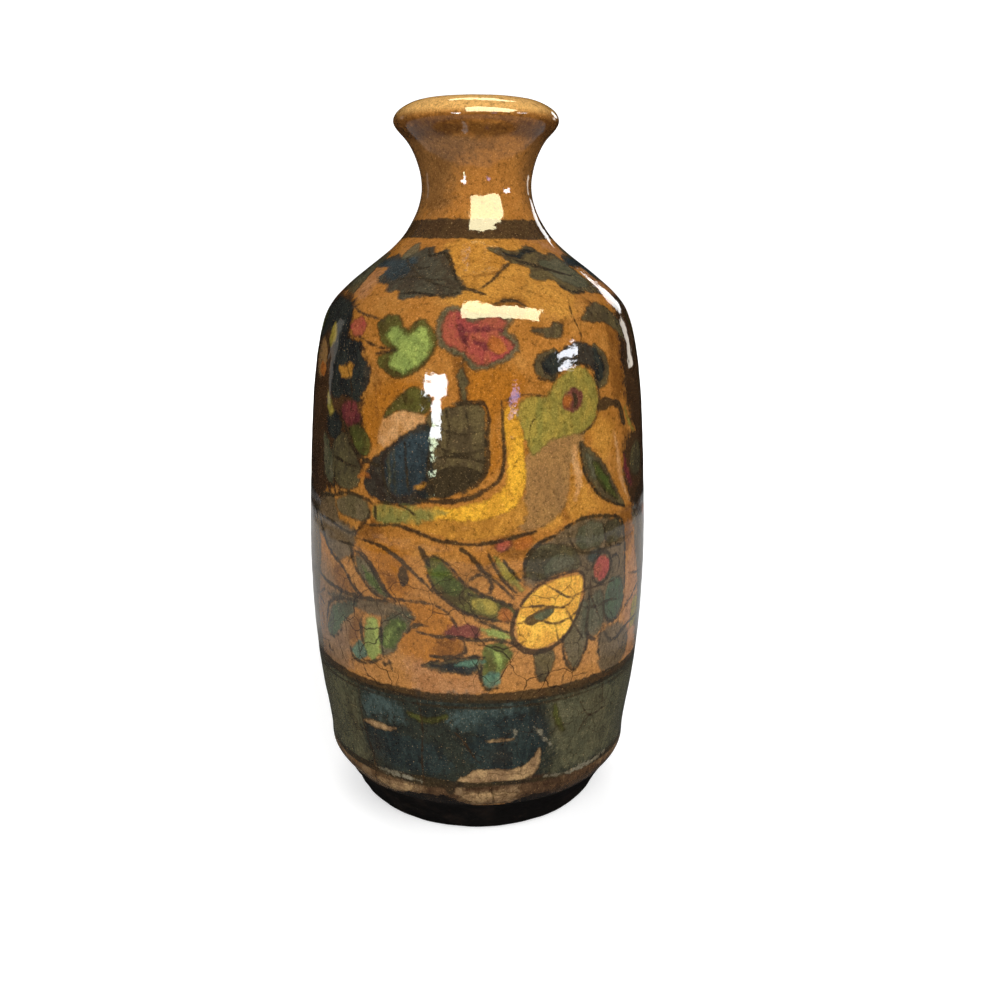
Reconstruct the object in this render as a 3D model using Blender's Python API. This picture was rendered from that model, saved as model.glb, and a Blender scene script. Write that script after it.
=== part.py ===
# Pottery flask: a round-shouldered bottle of fired clay, thrown in sections that are luted
# together with slip, with a clear glaze outside and a thinner one inside.
# Metres, +Z up. The origin is the centre of the face that the flask stands on.

import math

import bmesh
import bpy
from mathutils import Vector
from mathutils.geometry import interpolate_bezier

# Base cup: the radius outside at its top, how far inside that each lower station lies, and the
# rise of each above the station below
BASE_TOP_RADIUS = 0.0400
BASE_TOP_RISE = 0.0162
HEEL_HIGH_INSET = 0.0022
HEEL_HIGH_RISE = 0.0066
HEEL_ROUND_INSET = 0.0027
HEEL_ROUND_RISE = 0.0018
HEEL_LOW_INSET = 0.0034
HEEL_LOW_RISE = 0.0028
GLAZE_EDGE_INSET = 0.0054
GLAZE_EDGE_RISE = 0.0030
CUP_EDGE_INSET = 0.0074

# Foot ring, left bare of glaze: its step in from the cup's edge, its width on top, how far its
# outer side draws in on the way down, and its height
FOOT_STEP = 0.0008
FOOT_WIDTH = 0.0093
FOOT_TAPER = 0.0031
FOOT_HEIGHT = 0.0052
FOOT_EDGE_BEVEL = 0.0014

# Barrel wall: its turn towards the shoulder is measured inwards from the upper wall
BELLY_RADIUS = 0.0411
BELLY_RISE = 0.0230
UPPER_WALL_RADIUS = 0.0395
UPPER_WALL_RISE = 0.0360
TURN_START_INSET = 0.0018
TURN_START_RISE = 0.0140
BARREL_TOP_INSET = 0.0038
BARREL_TOP_RISE = 0.0080

# Shoulder: its lower stations lie inside the upper wall, and its upper ones outside the waist
TURN_INSET = 0.0068
TURN_RISE = 0.0050
SLOPE_LOW_INSET = 0.0105
SLOPE_LOW_RISE = 0.0033
SLOPE_HIGH_OUTSET = 0.0067
SLOPE_HIGH_RISE = 0.0077
SHOULDER_TOP_OUTSET = 0.0036
SHOULDER_TOP_RISE = 0.0035

# Neck and lip: the neck opens out from the waist, and the crown from the mouth
NECK_LOW_OUTSET = 0.0007
NECK_LOW_RISE = 0.0055
WAIST_RADIUS = 0.0125
WAIST_RISE = 0.0045
FLARE_OUTSET = 0.0017
FLARE_RISE = 0.0065
LIP_START_INSET = 0.0028
LIP_START_RISE = 0.0031
LIP_RADIUS = 0.0188
LIP_RISE = 0.0038
MOUTH_RADIUS = 0.0098
MOUTH_DROP = 0.0020
CROWN_OUTSET = 0.0019
CROWN_RISE = 0.0046

# Clay, slip and glaze
BODY_WALL = 0.0040
WAIST_WALL = 0.0034
FLOOR_THICKNESS = 0.0050
FLOOR_FILLET = 0.0080
SLIP_THICKNESS = 0.0008
SCARF_SHIFT = 0.0030
OUTER_GLAZE_THICKNESS = 0.0007
LINING_GLAZE_THICKNESS = 0.0005

# Clearances: between layers, and along the wall at a sloping joint, where a little more leaves
# the same gap square to the joint
FIT_GAP = 0.0003
JOINT_GAP = 0.0004

# How finely the curves are cut
TURNS = 36
CURVE_STEPS = 12
CURVE_TOLERANCE = 0.00018
SHARP_ANGLE = math.radians(35)
MERGE_DISTANCE = 0.000001

CUP_UNDERSIDE = FOOT_HEIGHT + SLIP_THICKNESS + 2 * FIT_GAP
CLAY_DEPTH = OUTER_GLAZE_THICKNESS + FIT_GAP
LINING_DEPTH = FIT_GAP + LINING_GLAZE_THICKNESS
JOINT_HALF = SLIP_THICKNESS / 2 + JOINT_GAP
UP = Vector((0, 1))
INWARD = Vector((-1, 0))


def material(name, colour, roughness):
    made = bpy.data.materials.new(name)
    made.use_nodes = True
    shader = made.node_tree.nodes["Principled BSDF"]
    shader.inputs["Base Color"].default_value = (*colour, 1)
    shader.inputs["Roughness"].default_value = roughness
    shader.inputs["Metallic"].default_value = 0
    made.diffuse_color = (*colour, 1)
    return made


# The fewest of the points whose chords stay within the tolerance of the rest
def simplified(points):
    def split(low, high):
        a, b = points[low], points[high]
        chord = (b - a).normalized()
        gaps = [abs(chord.cross(p - a)) for p in points[low + 1:high]]
        if not gaps or max(gaps) < CURVE_TOLERANCE:
            return []
        worst = low + 1 + gaps.index(max(gaps))
        return [*split(low, worst), points[worst], *split(worst, high)]

    return [points[0], *split(0, len(points) - 1), points[-1]]


# The way that a line takes at each knot: halfway between the spans that meet there
def ways_at(knots, first_way=None, last_way=None):
    spans = [(b - a).normalized() for a, b in zip(knots, knots[1:])]
    middle = [(a + b).normalized() for a, b in zip(spans, spans[1:])]
    return [first_way or spans[0], *middle, last_way or spans[-1]]


# A smooth line through the knots, as (radius, height) vectors, with handles a third of the span
def smooth_line(knots, first_way=None, last_way=None):
    ways = ways_at(knots, first_way, last_way)
    points = [knots[0]]
    for a, b, way_a, way_b in zip(knots, knots[1:], ways, ways[1:]):
        handle = (b - a).length / 3
        points += interpolate_bezier(a, a + way_a * handle, b - way_b * handle, b, CURVE_STEPS + 1)[1:]
    return simplified(points)


# The stations of the outside as (radius, height), each from its rise above the one below
def stations(start, *radius_and_rise):
    points = []
    height = start
    for radius, rise in radius_and_rise:
        height += rise
        points.append(Vector((radius, height)))
    return points


CUP_EDGE, GLAZE_EDGE, *HEEL, BASE_TOP = stations(
    CUP_UNDERSIDE,
    (BASE_TOP_RADIUS - CUP_EDGE_INSET, 0),
    (BASE_TOP_RADIUS - GLAZE_EDGE_INSET, GLAZE_EDGE_RISE),
    (BASE_TOP_RADIUS - HEEL_LOW_INSET, HEEL_LOW_RISE),
    (BASE_TOP_RADIUS - HEEL_ROUND_INSET, HEEL_ROUND_RISE),
    (BASE_TOP_RADIUS - HEEL_HIGH_INSET, HEEL_HIGH_RISE),
    (BASE_TOP_RADIUS, BASE_TOP_RISE),
)
*BARREL, BARREL_TOP = stations(
    BASE_TOP.y,
    (BELLY_RADIUS, BELLY_RISE),
    (UPPER_WALL_RADIUS, UPPER_WALL_RISE),
    (UPPER_WALL_RADIUS - TURN_START_INSET, TURN_START_RISE),
    (UPPER_WALL_RADIUS - BARREL_TOP_INSET, BARREL_TOP_RISE),
)
*SHOULDER, SHOULDER_TOP = stations(
    BARREL_TOP.y,
    (UPPER_WALL_RADIUS - TURN_INSET, TURN_RISE),
    (UPPER_WALL_RADIUS - SLOPE_LOW_INSET, SLOPE_LOW_RISE),
    (WAIST_RADIUS + SLOPE_HIGH_OUTSET, SLOPE_HIGH_RISE),
    (WAIST_RADIUS + SHOULDER_TOP_OUTSET, SHOULDER_TOP_RISE),
)
NECK_LOW, WAIST, *FLARE, LIP = stations(
    SHOULDER_TOP.y,
    (WAIST_RADIUS + NECK_LOW_OUTSET, NECK_LOW_RISE),
    (WAIST_RADIUS, WAIST_RISE),
    (WAIST_RADIUS + FLARE_OUTSET, FLARE_RISE),
    (LIP_RADIUS - LIP_START_INSET, LIP_START_RISE),
    (LIP_RADIUS, LIP_RISE),
)
CROWN = Vector((MOUTH_RADIUS + CROWN_OUTSET, LIP.y + CROWN_RISE))
MOUTH = Vector((MOUTH_RADIUS, CROWN.y - MOUTH_DROP))
FOOT_TOP_RADIUS = CUP_EDGE.x - FOOT_STEP
FOOT_EDGE_RADIUS = FOOT_TOP_RADIUS - FOOT_TAPER
FOOT_BORE_RADIUS = FOOT_TOP_RADIUS - FOOT_WIDTH


# One side of a turned piece as a polyline that is measured by the distance along it. Layers
# taken from one outline bend at the same places, so the gap between them is even.
class Outline:
    def __init__(self, points, first_way=None, last_way=None):
        self.points = points
        self.sides = [Vector((-way.y, way.x)) for way in ways_at(points, first_way, last_way)]
        self.at = [0.0]
        for a, b in zip(points, points[1:]):
            self.at.append(self.at[-1] + (b - a).length)
        self.length = self.at[-1]

    # A point that lies square to the outline, to the left of its way
    def beside(self, distance, depth):
        last = len(self.at) - 1
        i = next((k for k in range(1, last) if self.at[k] >= distance), last)
        share = (distance - self.at[i - 1]) / (self.at[i] - self.at[i - 1])
        a, b = (self.points[k] + self.sides[k] * depth for k in (i - 1, i))
        return a.lerp(b, share)

    def run(self, start, end, depth=0.0):
        inner = [d for d in self.at if start < d < end]
        return [self.beside(d, depth) for d in (start, *inner, end)]

    def distance_to(self, place):
        nearest = []
        for a, b, at in zip(self.points, self.points[1:], self.at):
            along = b - a
            share = min(1, max(0, (place - a).dot(along) / along.length_squared))
            nearest.append(((a + along * share - place).length, at + along.length * share))
        return min(nearest)[1]


# The outside: up the body from the cup's lower edge, out to the lip, and over its crown to the
# mouth. Left of its way is the clay.
outside = Outline(
    smooth_line(
        [CUP_EDGE, GLAZE_EDGE, *HEEL, BASE_TOP, *BARREL, BARREL_TOP]
        + [*SHOULDER, SHOULDER_TOP, NECK_LOW, WAIST, *FLARE, LIP],
        last_way=UP,
    )
    + smooth_line([LIP, CROWN], first_way=UP, last_way=INWARD)[1:]
    + smooth_line([CROWN, MOUTH], first_way=INWARD, last_way=-UP)[1:],
    last_way=-UP,
)
glaze_edge, base_seam, shoulder_seam, neck_seam, waist = (
    outside.distance_to(station)
    for station in (GLAZE_EDGE, BASE_TOP, BARREL_TOP, SHOULDER_TOP, WAIST)
)


# The inside of the wall: even clay up to the neck's joint, and thinner from there to the waist
def inside_point(distance):
    share = max(0, distance - neck_seam) / (waist - neck_seam)
    clay = BODY_WALL + (WAIST_WALL - BODY_WALL) * share
    return outside.beside(distance, CLAY_DEPTH + clay)


# The inside: from the axis over the flat floor, round the corner, up the wall and through the
# bore to the mouth. Left of its way is the hollow.
def clay_inside():
    floor = CUP_UNDERSIDE + FLOOR_THICKNESS
    corner_top = floor + FLOOR_FILLET
    wall = [inside_point(d) for d in outside.at if d <= waist]
    first = next(i for i, p in enumerate(wall) if p.y > corner_top)
    a, b = wall[first - 1:first + 1]
    corner = a.lerp(b, (corner_top - a.y) / (b.y - a.y))
    level = Vector((corner.x - FLOOR_FILLET, floor))
    bend = (math.sqrt(2) - 1) * 4 / 3 * FLOOR_FILLET
    arc = interpolate_bezier(
        level, level - INWARD * bend, corner - UP * bend, corner, CURVE_STEPS + 1
    )
    rim = MOUTH - INWARD * CLAY_DEPTH
    bore = smooth_line([wall[-1], rim], first_way=UP, last_way=UP)
    points = [Vector((0, floor)), *simplified(arc), *wall[first:], *bore[1:]]
    return Outline(points, first_way=-INWARD, last_way=UP)


inside = clay_inside()


# A closed section turned once about the axis. One that begins on the axis ends there too.
def turned(name, section, made_of):
    work = bmesh.new()
    knots = [work.verts.new((p.x, 0, p.y)) for p in section]
    for a, b in zip(knots, knots[1:]):
        work.edges.new((a, b))
    if section[0].x > MERGE_DISTANCE:
        work.edges.new((knots[-1], knots[0]))
    bmesh.ops.spin(
        work,
        geom=[*work.verts, *work.edges],
        cent=(0, 0, 0),
        axis=(0, 0, 1),
        angle=math.tau,
        steps=TURNS,
        use_merge=True,
    )
    bmesh.ops.remove_doubles(work, verts=work.verts, dist=MERGE_DISTANCE)
    bmesh.ops.recalc_face_normals(work, faces=work.faces)
    if work.calc_volume(signed=True) < 0:
        bmesh.ops.reverse_faces(work, faces=work.faces)
    mesh = bpy.data.meshes.new(name)
    work.to_mesh(mesh)
    work.free()
    mesh.shade_smooth()
    mesh.set_sharp_from_angle(angle=SHARP_ANGLE)
    mesh.materials.append(made_of)
    piece = bpy.data.objects.new(name, mesh)
    bpy.context.scene.collection.objects.link(piece)
    return piece


# The ring stands on its flat lower face, and carries the cup on its upper one
def foot_ring(made_of):
    bevel = FOOT_EDGE_BEVEL
    section = [
        Vector((FOOT_BORE_RADIUS, FOOT_HEIGHT)),
        Vector((FOOT_BORE_RADIUS, bevel)),
        Vector((FOOT_BORE_RADIUS + bevel, 0)),
        Vector((FOOT_EDGE_RADIUS - bevel / 2, 0)),
        Vector((FOOT_EDGE_RADIUS + bevel / 2, bevel / 2)),
        Vector((FOOT_EDGE_RADIUS + bevel, bevel * 1.5)),
        Vector((FOOT_TOP_RADIUS, FOOT_HEIGHT)),
    ]
    return turned("foot_ring", section, made_of)


def foot_slip(made_of):
    low = FOOT_HEIGHT + FIT_GAP
    high = low + SLIP_THICKNESS
    section = [
        Vector((FOOT_BORE_RADIUS, high)),
        Vector((FOOT_BORE_RADIUS, low)),
        Vector((FOOT_TOP_RADIUS, low)),
        Vector((FOOT_TOP_RADIUS, high)),
    ]
    return turned("foot_slip", section, made_of)


# Floor and lower wall in one piece, up to the scarfed joint under the painted line. Its bare
# lower edge is flush with the glaze, which starts in a shallow rebate.
def base_cup(made_of):
    rebate = glaze_edge - FIT_GAP
    wall_end = base_seam - JOINT_HALF
    section = [
        Vector((0, CUP_UNDERSIDE)),
        *outside.run(0, rebate),
        *outside.run(rebate, wall_end, CLAY_DEPTH),
        *reversed(inside.run(0, scarf_inside(wall_end))),
    ]
    return turned("base_cup", section, made_of)


# Where a joint comes out on the inside: further up than outside, so that the sections centre
# on each other
def scarf_inside(distance):
    return inside.distance_to(inside_point(distance + SCARF_SHIFT))


# A ring of wall between two joints
def wall_ring(name, start, end, made_of):
    section = [
        *outside.run(start, end, CLAY_DEPTH),
        *reversed(inside.run(scarf_inside(start), scarf_inside(end))),
    ]
    return turned(name, section, made_of)


def slip_ring(name, seam, made_of):
    half = SLIP_THICKNESS / 2
    return wall_ring(name, seam - half, seam + half, made_of)


# The neck with its lip, whose crown rolls over from the widest edge to the mouth
def neck(made_of):
    start = neck_seam + JOINT_HALF
    section = [
        *outside.run(start, outside.length, CLAY_DEPTH),
        *reversed(inside.run(scarf_inside(start), inside.length)[:-1]),
    ]
    return turned("neck", section, made_of)


# One coat from above the foot, up the body and over the lip, to the mouth
def outer_glaze(made_of):
    section = [
        *outside.run(glaze_edge, outside.length),
        *reversed(outside.run(glaze_edge, outside.length, OUTER_GLAZE_THICKNESS)),
    ]
    return turned("outer_glaze", section, made_of)


# The coat that makes the porous clay hold liquid, from the floor up to the mouth
def lining_glaze(made_of):
    end = inside.length - FIT_GAP
    section = [
        *inside.run(0, end, FIT_GAP),
        *reversed(inside.run(0, end, LINING_DEPTH)),
    ]
    return turned("lining_glaze", section, made_of)


def build():
    for old in list(bpy.data.objects):
        bpy.data.objects.remove(old)
    bare_clay = material("bare_fired_clay", (0.045, 0.032, 0.026), 0.75)
    clay = material("buff_clay", (0.46, 0.30, 0.19), 0.8)
    slip = material("luting_slip", (0.55, 0.40, 0.28), 0.85)
    amber_glaze = material("amber_glaze", (0.42, 0.20, 0.055), 0.08)
    lining = material("lining_glaze", (0.36, 0.22, 0.11), 0.15)
    foot_ring(bare_clay)
    foot_slip(slip)
    base_cup(clay)
    slip_ring("base_slip", base_seam, slip)
    wall_ring("barrel_wall", base_seam + JOINT_HALF, shoulder_seam - JOINT_HALF, clay)
    slip_ring("shoulder_slip", shoulder_seam, slip)
    wall_ring("shoulder", shoulder_seam + JOINT_HALF, neck_seam - JOINT_HALF, clay)
    slip_ring("neck_slip", neck_seam, slip)
    neck(clay)
    outer_glaze(amber_glaze)
    lining_glaze(lining)


build()
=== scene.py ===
import math
import bmesh
import bpy
import numpy as np
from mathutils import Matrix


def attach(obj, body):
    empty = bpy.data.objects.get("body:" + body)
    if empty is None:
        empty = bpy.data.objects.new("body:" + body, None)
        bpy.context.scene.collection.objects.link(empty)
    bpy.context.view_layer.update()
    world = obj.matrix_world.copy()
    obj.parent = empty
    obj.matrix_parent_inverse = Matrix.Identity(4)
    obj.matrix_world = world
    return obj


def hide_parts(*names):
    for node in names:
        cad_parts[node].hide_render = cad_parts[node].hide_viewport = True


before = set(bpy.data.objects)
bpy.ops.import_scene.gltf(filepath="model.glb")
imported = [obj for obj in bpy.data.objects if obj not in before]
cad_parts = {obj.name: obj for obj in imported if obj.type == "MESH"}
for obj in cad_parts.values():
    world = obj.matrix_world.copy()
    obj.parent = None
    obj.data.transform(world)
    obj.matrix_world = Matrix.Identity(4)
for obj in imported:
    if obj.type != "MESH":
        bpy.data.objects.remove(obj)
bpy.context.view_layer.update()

mm = 0.001
print("frame loaded,", len(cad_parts), "nodes")


# small helpers

def linear(hexColour):
    # sRGB hex to the linear values that a shader wants
    channels = [int(hexColour[i:i + 2], 16) / 255 for i in (1, 3, 5)]
    channels = [c / 12.92 if c <= 0.04045 else ((c + 0.055) / 1.055) ** 2.4 for c in channels]
    return (*channels, 1)


def addNode(tree, kind, inputs=None, **settings):
    # one node with its settings; an input is a value or the socket that feeds it
    node = tree.nodes.new(kind)
    for key, value in settings.items():
        setattr(node, key, value)
    for key, value in (inputs or {}).items():
        if isinstance(value, bpy.types.NodeSocket):
            tree.links.new(value, node.inputs[key])
        else:
            node.inputs[key].default_value = value
    return node


def newMaterial(name):
    material = bpy.data.materials.new(name)
    material.use_nodes = True
    material.node_tree.nodes.clear()
    return material, material.node_tree


def splineThrough(points, closed=False, step=0.3):
    # smooth cubic line through the points, as points about one step apart
    points = np.array(points, float)
    if closed:
        points = np.vstack([points, points[:1]])
    gap = np.linalg.norm(np.diff(points[:, :2], axis=0), axis=1)
    place = np.concatenate([[0], np.cumsum(gap)])
    count = len(points)
    left = np.zeros((count, count))
    right = np.zeros(points.shape)
    for i in range(1, count - 1):
        left[i, i - 1:i + 2] = gap[i - 1], 2 * (gap[i - 1] + gap[i]), gap[i]
        right[i] = 6 * ((points[i + 1] - points[i]) / gap[i] - (points[i] - points[i - 1]) / gap[i - 1])
    left[0, 0] = left[-1, -1] = 1
    if closed:
        left[0, -1] = -1
        left[-1] = 0
        left[-1, [0, 1, -2, -1]] = 2 * gap[0], gap[0], gap[-1], 2 * gap[-1]
        right[-1] = 6 * ((points[1] - points[0]) / gap[0] - (points[-1] - points[-2]) / gap[-1])
    bend = np.linalg.solve(left, right)
    at = np.linspace(0, place[-1], int(place[-1] / step) + 2)
    k = np.clip(np.searchsorted(place, at) - 1, 0, count - 2)
    wide = gap[k][:, None]
    after = (at - place[k])[:, None]
    before = wide - after
    cubic = (bend[k] * before ** 3 + bend[k + 1] * after ** 3) / (6 * wide)
    fromLeft = (points[k] / wide - bend[k] * wide / 6) * before
    fromRight = (points[k + 1] / wide - bend[k + 1] * wide / 6) * after
    return cubic + (fromLeft + fromRight)


def selectOnly(piece, kind, test):
    # in edit mode, selects the verts, edges or faces whose corners all pass the test
    mesh = bmesh.from_edit_mesh(piece.data)
    bpy.ops.mesh.select_all(action="DESELECT")
    for part in getattr(mesh, kind):
        points = [part.co] if kind == "verts" else [v.co for v in part.verts]
        if all(test(point) for point in points):
            part.select_set(True)
    mesh.select_flush_mode()
    bmesh.update_edit_mesh(piece.data)


# camera: held by hand close in front, as high as the neck's foot, and tilted down

cameraPlace = {
    "distance": 246.2,   # mm from the flask's axis
    "height": 135.5,
    "tiltDown": 14.23,   # degrees
    "lens": 37.05,
    "sideShift": 0.0227,   # the flask stands a little left of the middle
}

bpy.ops.object.camera_add(
    location=(0, -cameraPlace["distance"] * mm, cameraPlace["height"] * mm),
    rotation=(math.radians(90 - cameraPlace["tiltDown"]), 0, 0),
)
camera = bpy.context.object
camera.data.sensor_width = 36
camera.data.lens = cameraPlace["lens"]
camera.data.shift_x = cameraPlace["sideShift"]
camera.data.clip_start = 0.01
camera.data.clip_end = 20
bpy.context.scene.camera = camera
bpy.context.scene.view_settings.view_transform = "Standard"
print("camera placed")


# floor and backdrop: one pale round sheet that the flask stands on, swept up all round it

sweep = {
    # sizes in metres
    "around": 96,
    "radius": 2.0,
    "rise": 1.1,
    "bend": 0.4,
    "colour": "#D6D6D6",
    "glow": (0.55, 0.97),       # near the flask, where its shadow shows, and far behind it
    "glowReach": (0.12, 0.6),   # how far out the glow starts to grow and stops
}
rimWidth = 0.001   # metres within which a point counts as on the rim


def addBowl(name, around, radius, rise, lift=0):
    # a disc whose rim is drawn up into a wall, left in edit mode
    bpy.ops.object.select_all(action="DESELECT")
    bpy.ops.mesh.primitive_circle_add(vertices=around, radius=radius, fill_type="TRIFAN")
    bowl = bpy.context.object
    bowl.name = name
    bpy.ops.object.mode_set(mode="EDIT")
    bpy.ops.mesh.select_all(action="SELECT")
    bpy.ops.transform.translate(value=(0, 0, lift))
    selectOnly(bowl, "edges", lambda point: point.xy.length > radius - rimWidth)
    bpy.ops.mesh.extrude_region_move(TRANSFORM_OT_translate={"value": (0, 0, rise)})
    return bowl


sheet = addBowl("pale_sweep", sweep["around"], sweep["radius"], sweep["rise"])
wallStart = sweep["radius"] - rimWidth
selectOnly(sheet, "edges", lambda point: point.xy.length > wallStart and point.z < rimWidth)
bpy.ops.mesh.bevel(offset=sweep["bend"], segments=12)
bpy.ops.mesh.select_all(action="SELECT")
bpy.ops.mesh.normals_make_consistent(inside=True)
bpy.ops.object.mode_set(mode="OBJECT")
bpy.ops.object.shade_smooth()

# matt paper sheet: it keeps the flask's shadow, and far out it is bright enough to look plain white
paper, tree = newMaterial("matt_paper_sheet")
path = addNode(tree, "ShaderNodeLightPath")
seen = path.outputs["Is Camera Ray"]
for ray in ("Is Glossy Ray", "Is Transmission Ray"):
    seen = addNode(tree, "ShaderNodeMath", {0: seen, 1: path.outputs[ray]}, operation="MAXIMUM").outputs[0]
place = addNode(tree, "ShaderNodeTexCoord").outputs["Object"]
outward = addNode(tree, "ShaderNodeVectorMath", {0: place}, operation="LENGTH").outputs["Value"]
nearGlow, farGlow = sweep["glow"]
starts, stops = sweep["glowReach"]
reach = {"Value": outward, "From Min": starts, "From Max": stops, "To Min": nearGlow, "To Max": farGlow}
glow = addNode(tree, "ShaderNodeMapRange", reach, interpolation_type="SMOOTHSTEP").outputs[0]
glow = addNode(tree, "ShaderNodeMath", {0: seen, 1: glow}, operation="MULTIPLY").outputs[0]
matt = addNode(tree, "ShaderNodeBsdfDiffuse", {"Color": linear(sweep["colour"])})
shine = addNode(tree, "ShaderNodeEmission", {"Color": (1, 1, 1, 1), "Strength": glow})
both = addNode(tree, "ShaderNodeAddShader", {0: matt.outputs[0], 1: shine.outputs[0]})
addNode(tree, "ShaderNodeOutputMaterial", {"Surface": both.outputs[0]})
sheet.data.materials.append(paper)

# dim plain room beyond the sheet
room = bpy.data.worlds.new("dim_room")
bpy.context.scene.world = room
room.use_nodes = True
room.node_tree.nodes["Background"].inputs["Color"].default_value = linear("#DAD2C8")
room.node_tree.nodes["Background"].inputs["Strength"].default_value = 0.1

# dark sheet, a little inside the pale one, that only the glaze mirrors: painted shade in the reflections, standing
# for the dim room and the shaded table round the flask. It keeps the colours deep.
# It is thin in a ring round the flask, where the sides of the body mirror the pale sheet.
mirroredShade = {
    # sizes in metres
    "radius": 1.45,
    "rise": 0.9,
    "lift": 0.0006,
    "dark": 0.97,    # how much of the sheet it hides
    "thin": 0.66,
    "ring": (0.095, 0.135, 0.23, 0.36),   # how far out it starts to thin, is thin, thickens again, is dark
}

shadeSheet = addBowl("mirrored_shade_sheet", sweep["around"], mirroredShade["radius"], mirroredShade["rise"], mirroredShade["lift"])
bpy.ops.object.mode_set(mode="OBJECT")
for kind in ("camera", "diffuse", "transmission", "shadow", "volume_scatter"):
    setattr(shadeSheet, "visible_" + kind, False)

# near-black: it gives back almost no light, so what the glaze mirrors here is painted shade, dark but for the lamps
shadeBlack, tree = newMaterial("mirrored_shade_black")
place = addNode(tree, "ShaderNodeTexCoord").outputs["Object"]
outward = addNode(tree, "ShaderNodeVectorMath", {0: place}, operation="LENGTH").outputs["Value"]
starts, opened, closes, shut = mirroredShade["ring"]
dark, thin = mirroredShade["dark"], mirroredShade["thin"]
reach = {"Value": outward, "From Min": starts, "From Max": opened, "To Min": dark, "To Max": thin}
inner = addNode(tree, "ShaderNodeMapRange", reach, interpolation_type="SMOOTHSTEP").outputs[0]
reach = {"Value": outward, "From Min": closes, "From Max": shut, "To Min": 0, "To Max": 1}
outer = addNode(tree, "ShaderNodeMapRange", reach, interpolation_type="SMOOTHSTEP").outputs[0]
thick = addNode(tree, "ShaderNodeMath", {0: inner, 1: outer}, operation="MAXIMUM").outputs[0]
clear = addNode(tree, "ShaderNodeBsdfTransparent").outputs[0]
black = addNode(tree, "ShaderNodeBsdfDiffuse", {"Color": (0.01, 0.01, 0.01, 1)}).outputs[0]
either = addNode(tree, "ShaderNodeMixShader", {0: thick, 1: clear, 2: black}).outputs[0]
addNode(tree, "ShaderNodeOutputMaterial", {"Surface": either})
shadeSheet.data.materials.append(shadeBlack)

# soft studio light, as seen from the flask: degrees round it (0 in front, 90 on the right) and above it,
# metres away, degrees wide and high, brightness, colour. A soft lamp lights the colours; a bright one is
# only mirrored by the glaze, as the windows of the room in the photo are.
lamps = {
    "soft_key": (24, 40, 1.1, 48, 40, 4.8, "#FFFFFF", "soft"),
    "soft_fill": (-35, 20, 1.1, 50, 40, 1.6, "#FFFFFF", "soft"),
    "soft_back": (-165, 40, 1.1, 60, 40, 2.6, "#FFFFFF", "soft"),
    "small_window": (66, 13, 1.2, 15, 6, 24, "#F2F6FF", "bright"),
    "right_window": (147, 17, 1.3, 14, 13, 4, "#FFFFFF", "bright"),
    "right_window_low": (135, 4, 1.3, 8, 11, 3, "#FFF6E8", "bright"),
    "back_window": (175, 57, 1.3, 24, 8, 7, "#FFEFC4", "bright"),
    "left_doorway": (-121, 4, 1.3, 7, 22, 0.8, "#D8D2C6", "bright"),
}
# bright lamps near the flask: place in metres, degrees tipped up from facing down, metres wide and high,
# brightness, colour
nearLamps = {
    "pale_panel": ((0.030, -0.0605, 0.198), 55, 0.088, 0.054, 22, "#FFF4C6"),
    "tall_window": ((-0.151, -0.30, 0.1495), 90, 0.092, 0.037, 30, "#F8FCFF"),
    "tall_window_low": ((-0.137, -0.30, 0.110), 90, 0.034, 0.042, 30, "#F8FCFF"),
    "tall_window_foot": ((-0.149, -0.30, 0.078), 90, 0.018, 0.022, 26, "#DFF0CC"),
    "blue_screen": ((0.138, -0.30, 0.136), 90, 0.026, 0.030, 9, "#9AA8FF"),
    "blue_screen_low": ((0.118, -0.30, 0.112), 90, 0.018, 0.014, 6, "#8FA2FF"),
}
lampAim = (0, 0, 0.12)   # metres, the place that the first lamps turn about and face


def addLamp(name, place, rotation, size, brightness, colour, kind):
    bpy.ops.object.light_add(type="AREA", location=place, rotation=rotation)
    lamp = bpy.context.object
    lamp.name = name
    lamp.data.shape = "RECTANGLE"
    lamp.data.size, lamp.data.size_y = size
    lamp.data.energy = brightness * math.pi * size[0] * size[1]   # as bright whatever its size
    lamp.data.color = linear(colour)[:3]
    lamp.visible_camera = False
    lamp.visible_glossy = kind == "bright"
    lamp.visible_diffuse = kind == "soft"


for name, (turned, above, away, wide, high, brightness, colour, kind) in lamps.items():
    turn, lift = math.radians(turned), math.radians(above)
    toLamp = (math.sin(turn) * math.cos(lift), -math.cos(turn) * math.cos(lift), math.sin(lift))
    place = [at + away * part for at, part in zip(lampAim, toLamp)]
    size = [2 * away * math.tan(math.radians(angle) / 2) for angle in (wide, high)]
    addLamp(name, place, (math.pi / 2 - lift, 0, turn), size, brightness, colour, kind)
for name, (place, tip, wide, high, brightness, colour) in nearLamps.items():
    addLamp(name, place, (math.radians(tip), 0, 0), (wide, high), brightness, colour, "bright")
print("sheet, room and lamps made")


# the flask's outside line, from the glaze edge over the lip and into the mouth, in mm

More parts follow.
